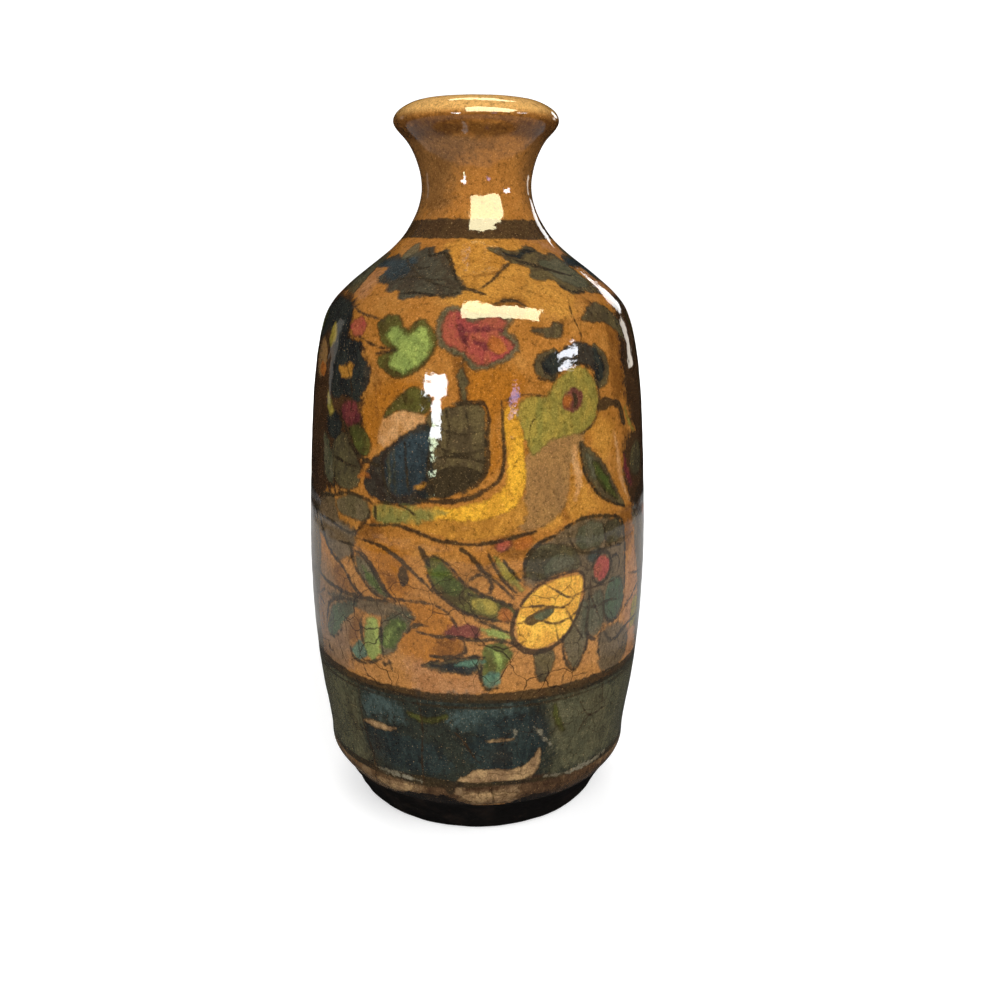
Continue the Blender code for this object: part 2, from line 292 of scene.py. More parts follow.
flaskLine = {
    # radius and height of the places that the line goes through
    "places": [
        (34.6, 9.6), (35.6, 10.9), (36.5, 12.2), (37.15, 13.6), (37.35, 15.5), (37.8, 20.8), (38.95, 28),
        (39.9, 36), (40.65, 46), (40.98, 56), (40.9, 68), (40.35, 80), (39.5, 94), (38.45, 105),
        (37.3, 112), (36.15, 116.6), (34.8, 120), (33.0, 122.5), (30.6, 124.9), (25.7, 128.9),
        (20.7, 132.7), (17.5, 135.7), (15.1, 139.1), (13.3, 143), (12.6, 147.3), (13.2, 151.3),
        (14.6, 155), (16.4, 157.7), (18.2, 159.7), (18.75, 161.1), (18.2, 162.6), (16.7, 163.9),
        (14.3, 165.05), (12.0, 165.4), (10.5, 164.9), (9.8, 163.5),
    ],
    "wall": 0.7,      # glaze coat
    "lean": 0.28,     # how far the lip stands left of the foot
    "leanFrom": 90,   # height where it starts, and over how much height it grows
    "leanOver": 70,
    "joints": [9.6, 37.2, 78, 118.5, 137.4],   # heights where one band of glaze ends on the next
}

line = splineThrough(flaskLine["places"], step=0.05)
lineAlong = np.concatenate([[0], np.cumsum(np.hypot(*np.diff(line, axis=0).T))])
lineTangent = np.gradient(line, lineAlong, axis=0)
lineTangent /= np.linalg.norm(lineTangent, axis=1)[:, None]
lineOut = np.stack([lineTangent[:, 1], -lineTangent[:, 0]], axis=1)   # points away from the clay
topOfWall = int(np.argmax(line[:, 0] * (line[:, 1] > 158)))   # the lip's widest place


def alongAt(height):
    # distance along the outside line at a height below the lip
    return np.interp(height, line[:topOfWall, 1], lineAlong[:topOfWall])


def handMade(radius, height, angle):
    # the thrown wall's slow unevenness and the glaze's shallow waves, in mm outwards
    turn = angle + height / 40
    slow = 0.045 * np.sin(2 * angle + 0.6 + height / 55) + 0.03 * np.sin(3 * angle - height / 27 + 1.0)
    throwing = 0.012 * np.sin(2 * np.pi * height / 4.3 + angle) * np.clip((height - 16) / 20, 0, 1)
    waves = 0
    for around, up, phase, size in ((7, 0.31, 0.4, 0.012), (11, -0.23, 1.9, 0.011), (13, 0.47, 3.1, 0.008),
                                    (17, -0.56, 0.2, 0.007), (23, 0.21, 4.4, 0.006), (5, 0.74, 2.2, 0.009)):
        waves = waves + size * np.sin(around * turn + up * height + phase)
    small = np.clip(radius / 30, 0.25, 1)
    return (slow - 0.08 + throwing) * small + waves * small


def leanAt(height):
    # the thrown neck leans a little, more towards the lip
    return -flaskLine["lean"] * np.clip((height - flaskLine["leanFrom"]) / flaskLine["leanOver"], 0, 1) ** 2


def surfaceAt(along, depth, angle):
    # a point of the glaze in mm: depth 0 is the outer face, 1 the inner one
    radius = np.interp(along, lineAlong, line[:, 0])
    height = np.interp(along, lineAlong, line[:, 1])
    outR = np.interp(along, lineAlong, lineOut[:, 0])
    outZ = np.interp(along, lineAlong, lineOut[:, 1])
    push = handMade(radius, height, angle) * (1 - depth) - flaskLine["wall"] * depth
    radius = radius + outR * push
    height = height + outZ * push
    return np.stack([radius * np.sin(angle) + leanAt(height), -radius * np.cos(angle), height], axis=-1)


def turnedPiece(name, stations, around, level):
    # a ring is added at the first station and extruded from one to the next, then halved level times;
    # a station is (radius, height, along, depth), and a radius of 0 closes an end on the axis
    bpy.ops.object.select_all(action="DESELECT")
    first = 1 if stations[0][0] == 0 else 0
    radius, height = stations[first][:2]
    bpy.ops.mesh.primitive_circle_add(vertices=around, radius=radius * mm, location=(0, 0, height * mm))
    piece = bpy.context.object
    piece.name = piece.data.name = name
    bpy.ops.object.transform_apply(location=True, rotation=True, scale=True)
    bpy.ops.object.mode_set(mode="EDIT")
    bpy.ops.mesh.select_all(action="SELECT")
    for nextRadius, nextHeight in [station[:2] for station in stations[first + 1:]]:
        bpy.ops.mesh.extrude_region_move(TRANSFORM_OT_translate={"value": (0, 0, (nextHeight - height) * mm)})
        if nextRadius == 0:
            bpy.ops.mesh.merge(type="CENTER")
        else:
            wider = nextRadius / radius
            bpy.ops.transform.resize(value=(wider, wider, 1), center_override=(0, 0, nextHeight * mm))
        radius, height = nextRadius, nextHeight
    if first:
        ringRadius, ringHeight = stations[1][0] * mm, stations[1][1] * mm
        close = 0.01 * mm

        def onRing(point):
            offRadius = abs(math.hypot(point.x, point.y) - ringRadius)
            return offRadius < close and abs(point.z - ringHeight) < close

        selectOnly(piece, "verts", onRing)
        drop = stations[0][1] * mm - ringHeight
        bpy.ops.mesh.extrude_region_move(TRANSFORM_OT_translate={"value": (0, 0, drop)})
        bpy.ops.mesh.merge(type="CENTER")
    bpy.ops.mesh.select_all(action="SELECT")
    bpy.ops.mesh.remove_doubles(threshold=0.001 * mm)
    bpy.ops.mesh.normals_make_consistent(inside=False)
    bpy.ops.object.mode_set(mode="OBJECT")
    # each ring keeps its place on the section, for the finer mesh to be set by
    mesh = piece.data
    flat = np.empty(len(mesh.vertices) * 3)
    mesh.vertices.foreach_get("co", flat)
    corners = flat.reshape(-1, 3) / mm
    section = np.stack([np.hypot(corners[:, 0], corners[:, 1]), corners[:, 2]], axis=1)
    table = np.array(stations, float)
    nearest = np.argmin(np.linalg.norm(section[:, None] - table[None, :, :2], axis=2), axis=1)
    for key, column in (("along", 2), ("depth", 3)):
        mesh.attributes.new(key, "FLOAT", "POINT").data.foreach_set("value", table[nearest, column])
    finer = piece.modifiers.new("finer", "SUBSURF")
    finer.subdivision_type = "SIMPLE"
    finer.levels = finer.render_levels = level
    bpy.ops.object.modifier_apply(modifier="finer")
    return piece


def readMesh(piece):
    # angle, along and depth of each vertex
    mesh = piece.data
    flat = np.empty(len(mesh.vertices) * 3)
    mesh.vertices.foreach_get("co", flat)
    corners = flat.reshape(-1, 3)
    values = []
    for key in ("along", "depth"):
        value = np.empty(len(mesh.vertices))
        mesh.attributes[key].data.foreach_get("value", value)
        values.append(value)
    return np.arctan2(corners[:, 0], -corners[:, 1]), values[0], values[1]


def setMesh(piece, place, angle, along, depth):
    # moves each vertex to its true place; returns the places and the true surface's normals there
    step, turn = 0.02, 0.001   # mm along the section and radians round it, to measure the slope over
    points = place(along, depth, angle)
    acrossLine = place(along + step, depth, angle) - place(along - step, depth, angle)
    acrossTurn = place(along, depth, angle + turn) - place(along, depth, angle - turn)
    normals = np.cross(acrossTurn, acrossLine)
    normals /= np.maximum(np.linalg.norm(normals, axis=1), 1e-9)[:, None]
    piece.data.vertices.foreach_set("co", (points * mm).ravel())
    piece.data.update()
    return points, normals


# clear glaze: one coat in five bands, each ending where the next starts

glazeBands = {
    "around": 80,        # corners of the first ring
    "halvings": 3,
    "stationGap": 3.2,   # mm along the outside
    "insideGap": 14,
}
bandNames = ["glaze_foot_band", "glaze_lower_body", "glaze_upper_body", "glaze_shoulder", "glaze_neck"]
bandEnds = [alongAt(height) for height in flaskLine["joints"]] + [lineAlong[-1]]
wall = flaskLine["wall"]
glazePieces = []
for name, start, end in zip(bandNames, bandEnds[:-1], bandEnds[1:]):
    stations = []
    outer = np.linspace(start, end, int(round((end - start) / glazeBands["stationGap"])) + 1)
    inner = np.linspace(end, start, max(3, int(round((end - start) / glazeBands["insideGap"])) + 1))
    for depth, stops in ((0, outer), (1, inner)):
        for along in stops:
            radius = np.interp(along, lineAlong, line[:, 0] - lineOut[:, 0] * wall * depth)
            height = np.interp(along, lineAlong, line[:, 1] - lineOut[:, 1] * wall * depth)
            stations.append((radius, height, along, depth))
    piece = turnedPiece(name, stations + stations[:1], glazeBands["around"], glazeBands["halvings"])
    angle, along, depth = readMesh(piece)
    _, normals = setMesh(piece, surfaceAt, angle, along, depth)
    normals[depth > 0.5] *= -1   # the inner face looks inwards
    bpy.ops.object.shade_smooth()
    piece.data.normals_split_custom_set_from_vertices(normals)
    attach(piece, "root")
    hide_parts("outer_glaze")
    glazePieces.append((piece, angle, along, depth))
    print(name, len(piece.data.polygons) * 2, "triangles")


# bare clay base: foot ring and turned underside, dark and uncoated, and the cup behind the glaze

clayBase = {
    # radius and height along the section, from the middle of the underside round to the floor inside
    "places": [
        (0, 6.5), (10, 6.6), (21.6, 6.6), (22.5, 5.9), (22.6, 1.6), (23.9, 0.15), (24.7, 0), (27.7, 0),
        (28.9, 0.4), (29.6, 1.1), (30.2, 2), (30.75, 3), (31.2, 4), (31.7, 5), (32.2, 6), (32.9, 7),
        (33.5, 8), (34.1, 9), (34.35, 9.45), (33.7, 9.95), (35.6, 12.7), (36.3, 14.4), (36.8, 20.9),
        (38.7, 34.4), (38.8, 36.3), (35.2, 39.5), (34.8, 34.9), (32.9, 21.3), (32.1, 16.5), (30.4, 13.95),
        (27.8, 12.25), (24.7, 11.6), (0, 11.6),
    ],
    # corners where a ring of the mesh has to lie
    "corners": [
        (22.3, 6.3), (23.2, 0.8), (28.9, 0.5), (34.3, 9.5), (33.8, 9.95), (38.7, 36.2), (35.2, 39.3),
    ],
    "easing": 0.45,   # mm over which the corners are eased
    "around": 96,
    "halvings": 2,
    "stationGap": 3.4,
}


def easedLine(places, easing, step=0.05):
    # straight runs with eased corners: distances along, and the radius and height there
    places = np.array(places, float)
    place = np.concatenate([[0], np.cumsum(np.linalg.norm(np.diff(places, axis=0), axis=1))])
    at = np.linspace(0, place[-1], int(place[-1] / step))
    points = np.stack([np.interp(at, place, places[:, 0]), np.interp(at, place, places[:, 1])], axis=1)
    span = int(easing / step)
    evenly = np.ones(2 * span + 1) / (2 * span + 1)
    for _ in range(2):
        padded = np.pad(points, ((span, span), (0, 0)), mode="edge")
        points = np.stack([np.convolve(column, evenly, mode="valid") for column in padded.T], axis=1)
    points[[0, -1], 0] = 0
    return at, points


baseAlong, basePoints = easedLine(clayBase["places"], clayBase["easing"])


def baseAt(along, depth, angle):
    # the skin of the base: nearly round, a little chipped and worn where it stands
    radius = np.interp(along, baseAlong, basePoints[:, 0])
    height = np.interp(along, baseAlong, basePoints[:, 1])
    low = np.clip((9.5 - height) / 3, 0, 1) * np.clip((radius - 20) / 4, 0, 1)
    rough = 0.05 * np.sin(9 * angle + height * 1.7) + 0.04 * np.sin(14 * angle - height * 2.3 + 1.1)
    rough = rough + 0.05 * np.sin(5 * angle + 2.0) + 0.03 * np.sin(31 * angle + height * 5.1)
    ridges = 0.035 * np.sin(2 * np.pi * height / 1.35 + angle)
    recess = np.clip((21 - radius) / 3, 0, 1) * np.clip((9 - height) / 2, 0, 1) * np.clip(radius / 4, 0, 1)
    under = 0.05 * np.sin(2 * np.pi * radius / 2.6 + angle) * recess
    radius = radius + (rough + ridges - 0.1) * low
    standing = np.clip(1 - abs(radius - 28.6) / 1.6, 0, 1) * (height < 2)
    worn = 0.06 * (1 + np.sin(6 * angle + 0.7) * np.sin(11 * angle)) * standing
    return np.stack([radius * np.sin(angle), -radius * np.cos(angle), height + under + worn], axis=-1)


def tableStations(alongTable, points, gap, corners):
    # even stations along a section, with one at each corner
    marks = [0]
    for corner in corners:
        marks.append(alongTable[np.argmin(np.linalg.norm(points - np.array(corner), axis=1))])
    marks = sorted(set(marks + [alongTable[-1]]))
    stops = [0]
    for low, high in zip(marks[:-1], marks[1:]):
        pieces = max(1, int(round((high - low) / gap)))
        stops += list(np.linspace(low, high, pieces + 1)[1:])
    radii = np.interp(stops, alongTable, points[:, 0])
    heights = np.interp(stops, alongTable, points[:, 1])
    return [(radius, height, at, 0) for radius, height, at in zip(radii, heights, stops)]


stations = tableStations(baseAlong, basePoints, clayBase["stationGap"], clayBase["corners"])
base = turnedPiece("bare_clay_base", stations, clayBase["around"], clayBase["halvings"])
baseAngle, along, depth = readMesh(base)
basePlaces, _ = setMesh(base, baseAt, baseAngle, along, depth)
bpy.ops.object.shade_smooth_by_angle(angle=math.radians(40))
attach(base, "root")
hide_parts("foot_ring", "foot_slip", "base_cup")
print("bare_clay_base", len(base.data.polygons) * 2, "triangles")


# lining glaze: the thin coat that shows in the mouth and down the throat

lining = {
    "places": [
        (0, 12.4), (12, 12.4), (24, 12.45), (27.5, 13.0), (29.8, 14.5), (31.35, 16.8), (31.95, 19.7),
        (32.3, 23), (33.94, 35), (34.54, 41.3), (35.2, 54.4), (35.25, 65.9), (34.75, 80.7), (33.6, 96.7),
        (32.7, 104.6), (31.4, 112.1), (30.5, 115.4), (29.6, 117.3), (28.45, 119), (27, 120.4),
        (22, 124.3), (17, 128.2), (13.5, 131.5), (10.1, 136.4), (8.0, 141.4), (7.3, 147.1), (7.75, 151.4),
        (8.8, 156), (9.55, 159.8), (9.8, 163.35),
    ],
    "wall": 0.5,
    "around": 64,
    "halvings": 2,
    "stationGap": 6,
}
liningLine = splineThrough(lining["places"], step=0.1)
liningLine[0, 0] = 0
liningAlong = np.concatenate([[0], np.cumsum(np.hypot(*np.diff(liningLine, axis=0).T))])
slope = np.gradient(liningLine, liningAlong, axis=0)
slope /= np.linalg.norm(slope, axis=1)[:, None]
liningOut = np.stack([slope[:, 1], -slope[:, 0]], axis=1)
liningOut[0] = 0, -1   # the middle of the floor faces straight down


def liningAt(along, depth, angle):
    # depth 0 faces the hollow, 1 faces the clay
    radius = np.interp(along, liningAlong, liningLine[:, 0])
    height = np.interp(along, liningAlong, liningLine[:, 1])
    runs = 0.04 * np.sin(4 * angle + height / 9) * np.clip(radius / 20, 0, 1)
    push = lining["wall"] * depth + runs * (1 - depth)
    outR = np.interp(along, liningAlong, liningOut[:, 0]) * np.clip(radius, 0, 1)
    outZ = np.interp(along, liningAlong, liningOut[:, 1])
    radius = radius + outR * push
    height = height + outZ * push
    return np.stack([radius * np.sin(angle) + leanAt(height), -radius * np.cos(angle), height], axis=-1)


stops = np.linspace(0, liningAlong[-1], int(liningAlong[-1] / lining["stationGap"]))
stations = []
for depth, order in ((1, stops), (0, stops[::-1])):
    for at in order:
        radius, height = liningLine[np.argmin(abs(liningAlong - at))]
        out = liningOut[np.argmin(abs(liningAlong - at))]
        radius = radius + out[0] * lining["wall"] * depth
        stations.append((radius if at > 0 else 0, height + out[1] * lining["wall"] * depth, at, depth))
liner = turnedPiece("throat_lining", stations, lining["around"], lining["halvings"])
angle, along, depth = readMesh(liner)
setMesh(liner, liningAt, angle, along, depth)
bpy.ops.object.shade_smooth_by_angle(angle=math.radians(40))
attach(liner, "root")
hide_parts("lining_glaze")
print("throat_lining", len(liner.data.polygons) * 2, "triangles")


# the painting, in mm: across is measured round the body at the brush radius, up is the height.
# A wash is a closed brushed patch, a brush is one stroke with its width or widths, and a ring goes all
# the way round between two heights, with edges that sway by the last number.

brushRadius = 40
painting = {
    "rings": [
        ("ink", "ring", 135.6, 139.7, 0.22),
        ("bandShade", "ring", 15.0, 38.2, 0.25),
        ("ink", "ring", 37.5, 39.9, 0.22),
        ("ink", "ring", 36.1, 36.6, 0.2),
        ("ink", "ring", 15.4, 16.8, 0.5),
        ("clay", "ring", 8.6, 15.9, 0.5),
    ],
    "ground": [
        ("goldAmber", "wash", [(-14, 134), (-6, 136), (6, 136), (20, 135), (28, 125), (24, 120), (8, 123),
            (-6, 122), (-10, 126)]),
        ("goldAmber", "wash", [(24, 99), (30, 99), (34, 95), (30, 90), (27, 94)]),
        ("deepAmber", "wash", [(-2, 109), (4, 110), (10, 108), (9, 104), (4, 101), (4.5, 90), (1, 88),
            (2.6, 100), (-2, 103)]),
        ("deepAmber", "wash", [(-18, 58), (-12, 61), (-5, 57), (-4, 50), (-9, 47), (-16, 48)]),
        ("deepAmber", "wash", [(-25, 104), (-20, 107), (-12, 107), (-20, 101), (-25, 93), (-28, 96)]),
        ("roseClay", "wash", [(-56, 131), (-44, 130), (-36, 128), (-34, 124), (-46, 124.5), (-56, 125)]),
        ("roseClay", "wash", [(30, 135.5), (44, 134), (56, 133), (56, 123), (46, 123), (43, 130),
            (36, 134)]),
        ("roseClay", "wash", [(-15, 47), (-6, 44), (1, 44), (1, 40.4), (-14, 40.4)]),
        ("roseClay", "wash", [(38, 62), (50, 68), (56, 60), (56, 42), (40, 42), (39, 52)]),
        ("roseClay", "wash", [(-50, 58), (-42, 58), (-32, 46), (-32, 41), (-54, 41)]),
        # painted shade and painted reflection: the neck darkened and greyed on its upper left
        ("neckShade", "wash", [(-60, 159), (-26, 158.6), (-4, 157.6), (10, 155), (-6, 152.4), (-14, 149),
            (-20, 143), (-40, 141), (-60, 141)]),
        # painted shade: a brown ring under the overhanging lip
        ("underLipShade", "ring", 156.8, 159.4, 0.4),
        # painted reflection: the lower sides greyed where the glaze mirrors the pale floor
        ("floorReflection", "wash", [(-66, 67), (-50, 66), (-38, 64), (-31, 56), (-30, 46), (-34, 40), (-66, 40)]),
        ("floorReflection", "wash", [(52, 74), (66, 74), (66, 40), (50, 42), (48, 58)]),
        # painted shade and painted reflection on the neck's right edge
        ("neckShade", "wash", [(34, 158), (60, 158.6), (60, 141), (44, 141), (38, 147)]),
        # painted reflection: grey wash low on the sides, where the glaze mirrors the pale floor
        ("greyWashAndReflection", "wash", [(-62, 80), (-46, 78), (-43, 70), (-44, 60), (-47, 50), (-46, 41), (-62, 41)]),
        ("greyWashAndReflection", "wash", [(44, 74), (62, 78), (62, 41), (50, 41), (47, 56)]),
        # painted shade: a darker line just under the lip's edge
        ("stain", "brush", 2.0, [(-60, 160.3), (-30, 159.9), (0, 160.2), (30, 160), (60, 160.3)]),
        ("deepAmber", "wash", [(-24.6, 70), (-17, 71), (-14, 66), (-15.6, 61), (-20, 60.6), (-22, 64)]),
        ("stain", "brush", (0.8, 2.4, 0.8), [(-22, 66.4), (-18, 64), (-15, 61.6)]),
        ("stain", "wash", [(36, 121), (40, 118), (40, 106), (36, 100), (34, 108), (35, 116)]),
        ("stain", "wash", [(8, 124), (12, 124), (12, 121), (3, 121.4)]),
    ],
    "shoulderLeafLeft": [
        ("greyOlive", "wash", [(-34.5, 132), (-33, 134), (-29, 134.4), (-27, 133), (-30, 131.6)]),
        ("slate", "wash", [(-46, 130.2), (-43, 131.5), (-38, 132.2), (-33, 131.8), (-30, 132),
            (-26, 133.2), (-22.5, 133.9), (-19.5, 133.9), (-17, 132.2), (-15, 133), (-13, 133.3),
            (-11, 132.5), (-9.5, 131), (-6, 128), (-3.6, 125.8), (-4.5, 124.4), (-8, 123.9), (-14, 124.2),
            (-18, 123.6), (-21, 123.4), (-22, 124.4), (-24, 124.9), (-26.4, 124.5), (-27.5, 125.5),
            (-31, 126.3), (-35.4, 127.8), (-34, 129.2), (-38, 129.6)]),
        ("wingBlue", "wash", [(-46, 130), (-37, 131.4), (-30, 131), (-25, 131.6), (-24, 128.6),
            (-29, 127), (-33, 128), (-38, 129.6)]),
        ("slate", "wash", [(-15, 129.6), (-12, 131), (-8, 128.4), (-7, 127), (-12, 127), (-16, 128)]),
        ("ink", "brush", (0.7, 1.1, 0.6), [(-22, 133.6), (-19, 132), (-15, 132.6), (-11, 131.8),
            (-7, 128.2), (-4, 125.6)]),
        ("ink", "brush", 0.7, [(-22, 124.4), (-16, 124.6), (-9, 124.2), (-5, 124.8)]),
        ("ink", "brush", (1.4, 1.0, 0.4), [(-4.4, 125.7), (-1, 125.2), (2.6, 124.4)]),
        ("ink", "brush", 0.5, [(-28, 129.4), (-24, 130.2), (-20, 129.4), (-16, 130)]),
        ("ink", "brush", 0.5, [(-26, 127), (-20, 127.8), (-14, 127.2), (-9, 127.6)]),
        ("ink", "brush", 0.45, [(-30, 131.4), (-22, 129), (-13, 126.6), (-6, 125.6)]),
    ],
    "shoulderStem": [
        ("ink", "brush", (0.5, 0.7, 0.9), [(0.4, 125.5), (3, 126.5), (6, 128), (9, 129.5), (13, 131)]),
        ("stain", "brush", 0.8, [(-0.5, 128), (3, 128.4), (7, 128.8), (10, 130.2)]),
    ],
    "shoulderLeafRight": [
        ("darkOlive", "wash", [(5, 133.6), (8, 133.9), (12, 133.6), (15, 133.1), (19, 133.2), (22, 134.1),
            (26, 134), (31, 132.2), (35, 132.7), (38, 132), (40, 130.3), (40.7, 128), (42.2, 126.4),
            (42.6, 124.3), (38, 124.2), (33, 124.6), (30, 124.3), (26, 125.6), (25, 127), (22, 127.2),
            (17, 127.9), (18.6, 129.5), (16, 130.3), (13, 130.6), (11, 131.5), (8, 132.5)]),
        ("greyOlive", "wash", [(24, 131), (30, 131), (36, 131.4), (39, 129.4), (40, 126.4), (36, 125.4),
            (30, 126.4), (26, 128.4)]),
        ("blueBlack", "brush", 1.3, [(12, 132.6), (17, 132), (21, 132.8), (26, 133)]),
        ("ink", "brush", (0.5, 1.3, 0.4), [(10, 132.2), (15, 131.2), (22, 130), (30, 128.6), (36, 127.8)]),
        ("ink", "brush", 0.8, [(26, 125.8), (30, 124.6), (35, 124.6)]),
        ("stain", "brush", 1.0, [(31, 124.6), (32, 123), (33, 121.8)]),
    ],
    "topRightPatch": [
        ("darkOlive", "wash", [(27, 119.3), (29.5, 121), (32, 122), (36, 122.2), (39, 121), (41, 119.5),
            (43, 117), (43.5, 114.6), (41, 115.3), (38, 117), (34, 118.3), (31, 118.4)]),
        ("darkOlive", "wash", [(12.5, 117.4), (14.5, 117.9), (17, 117.9), (19, 118.8), (21, 118),
            (20.5, 116.4), (17.5, 115.6), (15.4, 116.4)]),
        ("stain", "brush", 0.6, [(18, 118.6), (23, 119.1), (28, 119.3)]),
        ("ink", "brush", 0.9, [(4, 122.5), (7, 123.3), (10, 123.2), (12, 122.3)]),
    ],
    "leftMass": [
        # umber under the dark mass, carried out to the left edge as painted shade where the side turns from the light
        # and mirrors the dim room
        ("umberAndEdgeShade", "wash", [(-58, 123), (-48, 124), (-40, 123.4), (-35, 121.4), (-33, 116), (-29, 114),
            (-27, 108), (-27, 98), (-26, 90), (-29, 84), (-36, 82), (-42, 79), (-48, 74), (-58, 76)]),
        ("blueBlack", "wash", [(-52, 122), (-44, 122.8), (-38, 122), (-35, 119), (-34.4, 115), (-29, 114),
            (-28.6, 111.8), (-26.5, 110.5), (-25.2, 107), (-27, 104), (-28.5, 102.2), (-33, 103),
            (-37, 102), (-40, 104), (-40, 112), (-44, 116), (-52, 114)]),
        ("blueBlack", "wash", [(-40, 98), (-36, 99), (-33.6, 96.4), (-35, 94), (-39, 93.6)]),
        ("mauve", "wash", [(-50, 113), (-46, 113.8), (-43.6, 111), (-44, 107), (-49, 106)]),
        ("orange", "wash", [(-47.6, 107.6), (-45, 109), (-43, 107.6), (-45, 106)]),
        ("olive", "wash", [(-43.4, 115), (-42, 117.6), (-40.2, 116.6), (-40.6, 113.4), (-42.4, 112.8)]),
        ("amberGold", "wash", [(-36.4, 108.6), (-34, 109.2), (-31.4, 109.8), (-31, 107.8), (-33, 106.6),
            (-35, 107.4)]),
        ("red", "wash", [(-34, 117.6), (-32.6, 119.3), (-30, 119.4), (-28.5, 118), (-29.2, 116),
            (-32, 115.5)]),
        ("ink", "brush", 0.6, [(-35, 121.2), (-31, 120.2), (-26, 119.5), (-23, 119)]),
        ("ink", "brush", 0.5, [(-31, 115.8), (-27, 114.6), (-24, 113.8), (-18, 113.4)]),
        ("plum", "wash", [(-34, 99.6), (-32, 101.8), (-29, 101.4), (-27.8, 99), (-29.6, 97),
            (-32.6, 97.2)]),
        ("olive", "wash", [(-40.6, 103), (-39.4, 101.6), (-37.6, 98.6), (-38.6, 98), (-40.4, 100)]),
        ("darkGreen", "wash", [(-30.8, 97), (-28.4, 97.2), (-25.4, 95.6), (-24.2, 92.4), (-26, 90.8),
            (-29, 92.6)]),
        ("ink", "brush", 1.0, [(-33, 97.4), (-31, 94), (-29, 91.6), (-26, 90), (-22, 89.2)]),
        ("darkOlive", "wash", [(-35.6, 94), (-32, 94.6), (-29, 91), (-27.4, 88.6), (-28, 84), (-32, 82.6),
            (-36, 84)]),
        ("stain", "wash", [(-48, 92), (-43, 91), (-40, 88), (-40, 82), (-44, 80.6), (-50, 84)]),
        ("greyOlive", "wash", [(-41.6, 94), (-39, 92), (-37, 87), (-37, 83), (-40, 84), (-41.6, 89)]),
        ("ink", "brush", 0.7, [(-36.8, 89.4), (-33, 88.6), (-28, 88)]),
        ("ink", "brush", 0.6, [(-36, 88), (-36.2, 84), (-35.8, 80.8)]),
        ("orange", "brush", 0.9, [(-27.6, 86.2), (-26, 86.8), (-24.4, 86.4)]),
    ],
    "heartLeaf": [
        ("darkGreen", "wash", [(-24.8, 118.4), (-23, 120), (-20, 120.2), (-17.8, 118.8), (-16.4, 117.4),
            (-15, 118.7), (-13, 119.7), (-11.2, 118.6), (-9.8, 117), (-9.3, 114.5), (-10.1, 112.3),
            (-12.2, 110.1), (-14.5, 108.6), (-17, 107.8), (-19.7, 108.1), (-22, 109.4), (-23.7, 111),
            (-21.4, 112.5), (-20, 113.2), (-22.4, 114.4), (-24.2, 116.6)]),
        ("yellowGreen", "wash", [(-21.8, 116.4), (-20, 117.8), (-18, 117.4), (-16.2, 116.2), (-13.4, 118),
            (-11.2, 117), (-10.4, 114.5), (-11.2, 112.6), (-13.2, 110.8), (-15.2, 109.6), (-18, 109.2),
            (-20, 110.2), (-19.4, 112.4), (-18.4, 113.4)]),
        ("leafGreen", "wash", [(-19, 110.6), (-17, 112), (-14.4, 111.6), (-14.4, 109.8), (-17.6, 109)]),
        ("ink", "brush", 0.6, [(-24, 112.3), (-20.6, 113), (-18.6, 113.2)]),
    ],
    "redFlower": [
        ("greyOlive", "wash", [(-9.3, 118), (-8.8, 120.8), (-7, 122.2), (-4, 122), (-1, 121), (5, 120.8),
            (8.8, 119.6), (6.6, 117.6), (8.4, 116.3), (9.7, 114.6), (8.4, 112.7), (6, 111.4),
            (3.5, 110.5), (1, 109.8), (-1.2, 110.2), (-3.2, 112), (-5.2, 113), (-8, 114)]),
        ("red", "wash", [(-8, 117.4), (-7.6, 120), (-6, 121.4), (-3.6, 121), (-2, 119.4), (4, 120.2),
            (7.2, 119), (5, 117.2), (7, 115.8), (8.2, 114.5), (7.2, 113.2), (5.4, 112), (3, 111.2),
            (1, 110.7), (-0.6, 111.2), (-2.6, 113), (-5, 114), (-7.2, 115)]),
        ("plum", "brush", (0.5, 1.1, 0.5), [(-4, 116.6), (-1, 117.6), (2, 117.9), (5.4, 117.6)]),
        ("plum", "brush", (0.6, 1.6, 1.0), [(-4.4, 120.2), (-3.4, 117), (-2.2, 114.4)]),
        ("plum", "brush", (0.4, 1.0, 0.5), [(-1, 115.4), (2, 114.4), (4.6, 112.6)]),
        ("orange", "wash", [(3.4, 116.4), (6, 115.2), (6.6, 113.8), (4.6, 113), (2.6, 114.2)]),
        ("stain", "wash", [(-5, 113.2), (-3.6, 113.4), (-1.6, 111), (-1.6, 107), (-2, 103.4), (-3.8, 104),
            (-4.6, 108)]),
        ("darkOlive", "brush", (1.2, 2.2, 1.0), [(-3.4, 110.6), (-3.2, 107.4), (-2.6, 103.6)]),
    ],
    "wing": [
        ("stain", "brush", 0.6, [(-28, 110.6), (-25, 109), (-23.6, 106.5), (-23, 103), (-22.6, 99.6)]),
        ("stain", "brush", 0.5, [(-26.6, 111.6), (-23.6, 109), (-22.4, 106), (-21.8, 103)]),
        ("paleOrange", "wash", [(-22, 96.6), (-21, 99.4), (-17.4, 101), (-12, 100.8), (-10.6, 98.6),
            (-13.6, 97.2), (-17, 95.4), (-19.6, 93.4), (-21.6, 93.6)]),
        ("darkGreen", "wash", [(-21, 99.4), (-19.6, 101.8), (-17.6, 104), (-15.4, 105.4), (-13, 106.1),
            (-11, 105), (-9.8, 103), (-10.4, 101.2), (-13, 100.8), (-16, 101.4), (-18.6, 100.4)]),
        ("paleOrange", "brush", 0.5, [(-17.4, 99.6), (-16.8, 102), (-16, 105)]),
        ("blueBlack", "wash", [(-10.6, 98.7), (-14, 97.6), (-17, 95.6), (-20, 93.2), (-23, 91),
